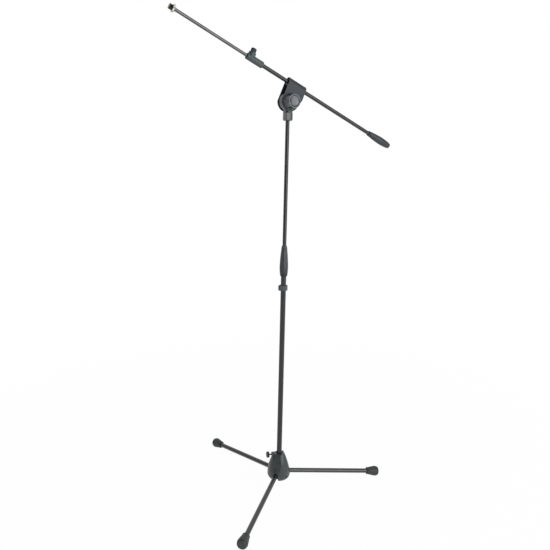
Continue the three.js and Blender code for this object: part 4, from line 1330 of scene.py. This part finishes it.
# Pieces that stay inside the others keep their own shape and take a finish
insideFinishes = {
    "clutch_collet": palePlastic, "upper_tube_guide": blackPlastic, "top_spigot": mastSteel,
    "knob_insert": insertBrass, "rod_plug": blackPlastic,
}
for nodeName, finish in insideFinishes.items():
    for materialSlot in frame["nodes"][nodeName].material_slots:
        materialSlot.material = finish

print("stage: studio")
studio = {
    "floorRadius": 6.0, "floorThickness": 1 * mm, "floorDrop": 0.2 * mm, "ambient": 0.15, "paper": 0.02,
    "backdrop": (0.51, 0.86, 0.0), "lampDistance": 2.4, "aimHeight": 0.8,
}
# Powers in watts, azimuths in degrees
lamps = {
    "keyLamp": {"power": 62.0, "size": (3.0, 2.3), "azimuth": 284, "height": 1.45},
    "fillLamp": {"power": 12.0, "size": (0.6, 1.8), "azimuth": 158, "height": 1.5},
    "accentLamp": {"power": 6.0, "size": (0.8, 1.0), "azimuth": 277, "height": 1.95},
}


# One where the white of the background shows: to the camera, through glass, and in the gloss
def lightPath(start, inGloss):
    seen = start.make("ShaderNodeLightPath", out="Is Camera Ray")
    gloss = seen.pick("Is Glossy Ray") * inGloss
    return seen.math("MAXIMUM", seen.pick("Is Transmission Ray")).math("MAXIMUM", gloss)


world = bpy.data.worlds.new("studio")
bpy.context.scene.world = world
world.use_nodes = True
world.node_tree.nodes.clear()
air = Wire(world.node_tree)
toBackdrop = {0: air.make("ShaderNodeTexCoord", out="Generated"), 1: studio["backdrop"]}
backdrop = air.make("ShaderNodeVectorMath", {"operation": "DOT_PRODUCT"}, toBackdrop, out="Value")
strength = studio["ambient"] + lightPath(air, backdrop.ease(0.0, 0.6)) * (1 - studio["ambient"])
sky = air.make("ShaderNodeBackground", None, {"Color": (1, 1, 1, 1), "Strength": strength})
sky.tree.links.new(sky.socket, sky.tree.nodes.new("ShaderNodeOutputWorld").inputs["Surface"])

floorMaterial, start = newFinish("floorPaper")
spot = start.make("ShaderNodeTexCoord", out="Object")
away = start.make("ShaderNodeVectorMath", {"operation": "LENGTH"}, {0: spot}, out="Value")
clean = away.ease(0.5, 2.5) * studio["paper"] + (1 - studio["paper"])
paper = start.make("ShaderNodeBsdfDiffuse", None, {"Color": (0.93, 0.93, 0.93, 1)})
glow = start.make("ShaderNodeEmission", None, {"Color": (1, 1, 1, 1), "Strength": 1.0})
shown = start.make("ShaderNodeMixShader", None, {0: clean * lightPath(start, 1), 1: paper, 2: glow})
start.tree.links.new(shown.socket, start.tree.nodes.new("ShaderNodeOutputMaterial").inputs["Surface"])
floorMesh = barMesh("floor", studio["floorRadius"], -studio["floorThickness"], 0, 96)
floorMesh.materials.append(floorMaterial)
floor = holderOf(floorMesh)
floor.location.z = -studio["floorDrop"]


def addLamp(name, setting):
    lamp = bpy.data.lights.new(name, "AREA")
    lamp.shape = "RECTANGLE"
    lamp.size, lamp.size_y = setting["size"]
    lamp.energy = setting["power"]
    holder = bpy.data.objects.new(name, lamp)
    bpy.context.scene.collection.objects.link(holder)
    angle = math.radians(setting["azimuth"])
    x = mastX + studio["lampDistance"] * math.cos(angle)
    y = mastY + studio["lampDistance"] * math.sin(angle)
    holder.location = (x, y, setting["height"])
    holder.visible_camera = False
    way = Vector((mastX, mastY, studio["aimHeight"])) - holder.location
    holder.rotation_euler = way.to_track_quat("-Z", "Y").to_euler()


for lampName, lampSetting in lamps.items():
    addLamp(lampName, lampSetting)

view = {
    "position": (-1.022189, -1.706689, 1.1811), "right": (0.86381, -0.50335, 0.0218),
    "up": (0.08406, 0.18666, 0.97882), "lens": 38.43, "sensor": 36.0,
}
camera = bpy.data.objects.new("camera", bpy.data.cameras.new("camera"))
bpy.context.scene.collection.objects.link(camera)
camera.data.lens = view["lens"]
camera.data.sensor_width = view["sensor"]
camera.data.clip_end = 50
right = Vector(view["right"]).normalized()
back = right.cross(Vector(view["up"])).normalized()
turned = Matrix((right, back.cross(right), back)).transposed().to_4x4()
turned.translation = Vector(view["position"])
camera.matrix_world = turned
bpy.context.scene.camera = camera
bpy.context.scene.view_settings.view_transform = "Standard"

print("stage: done")
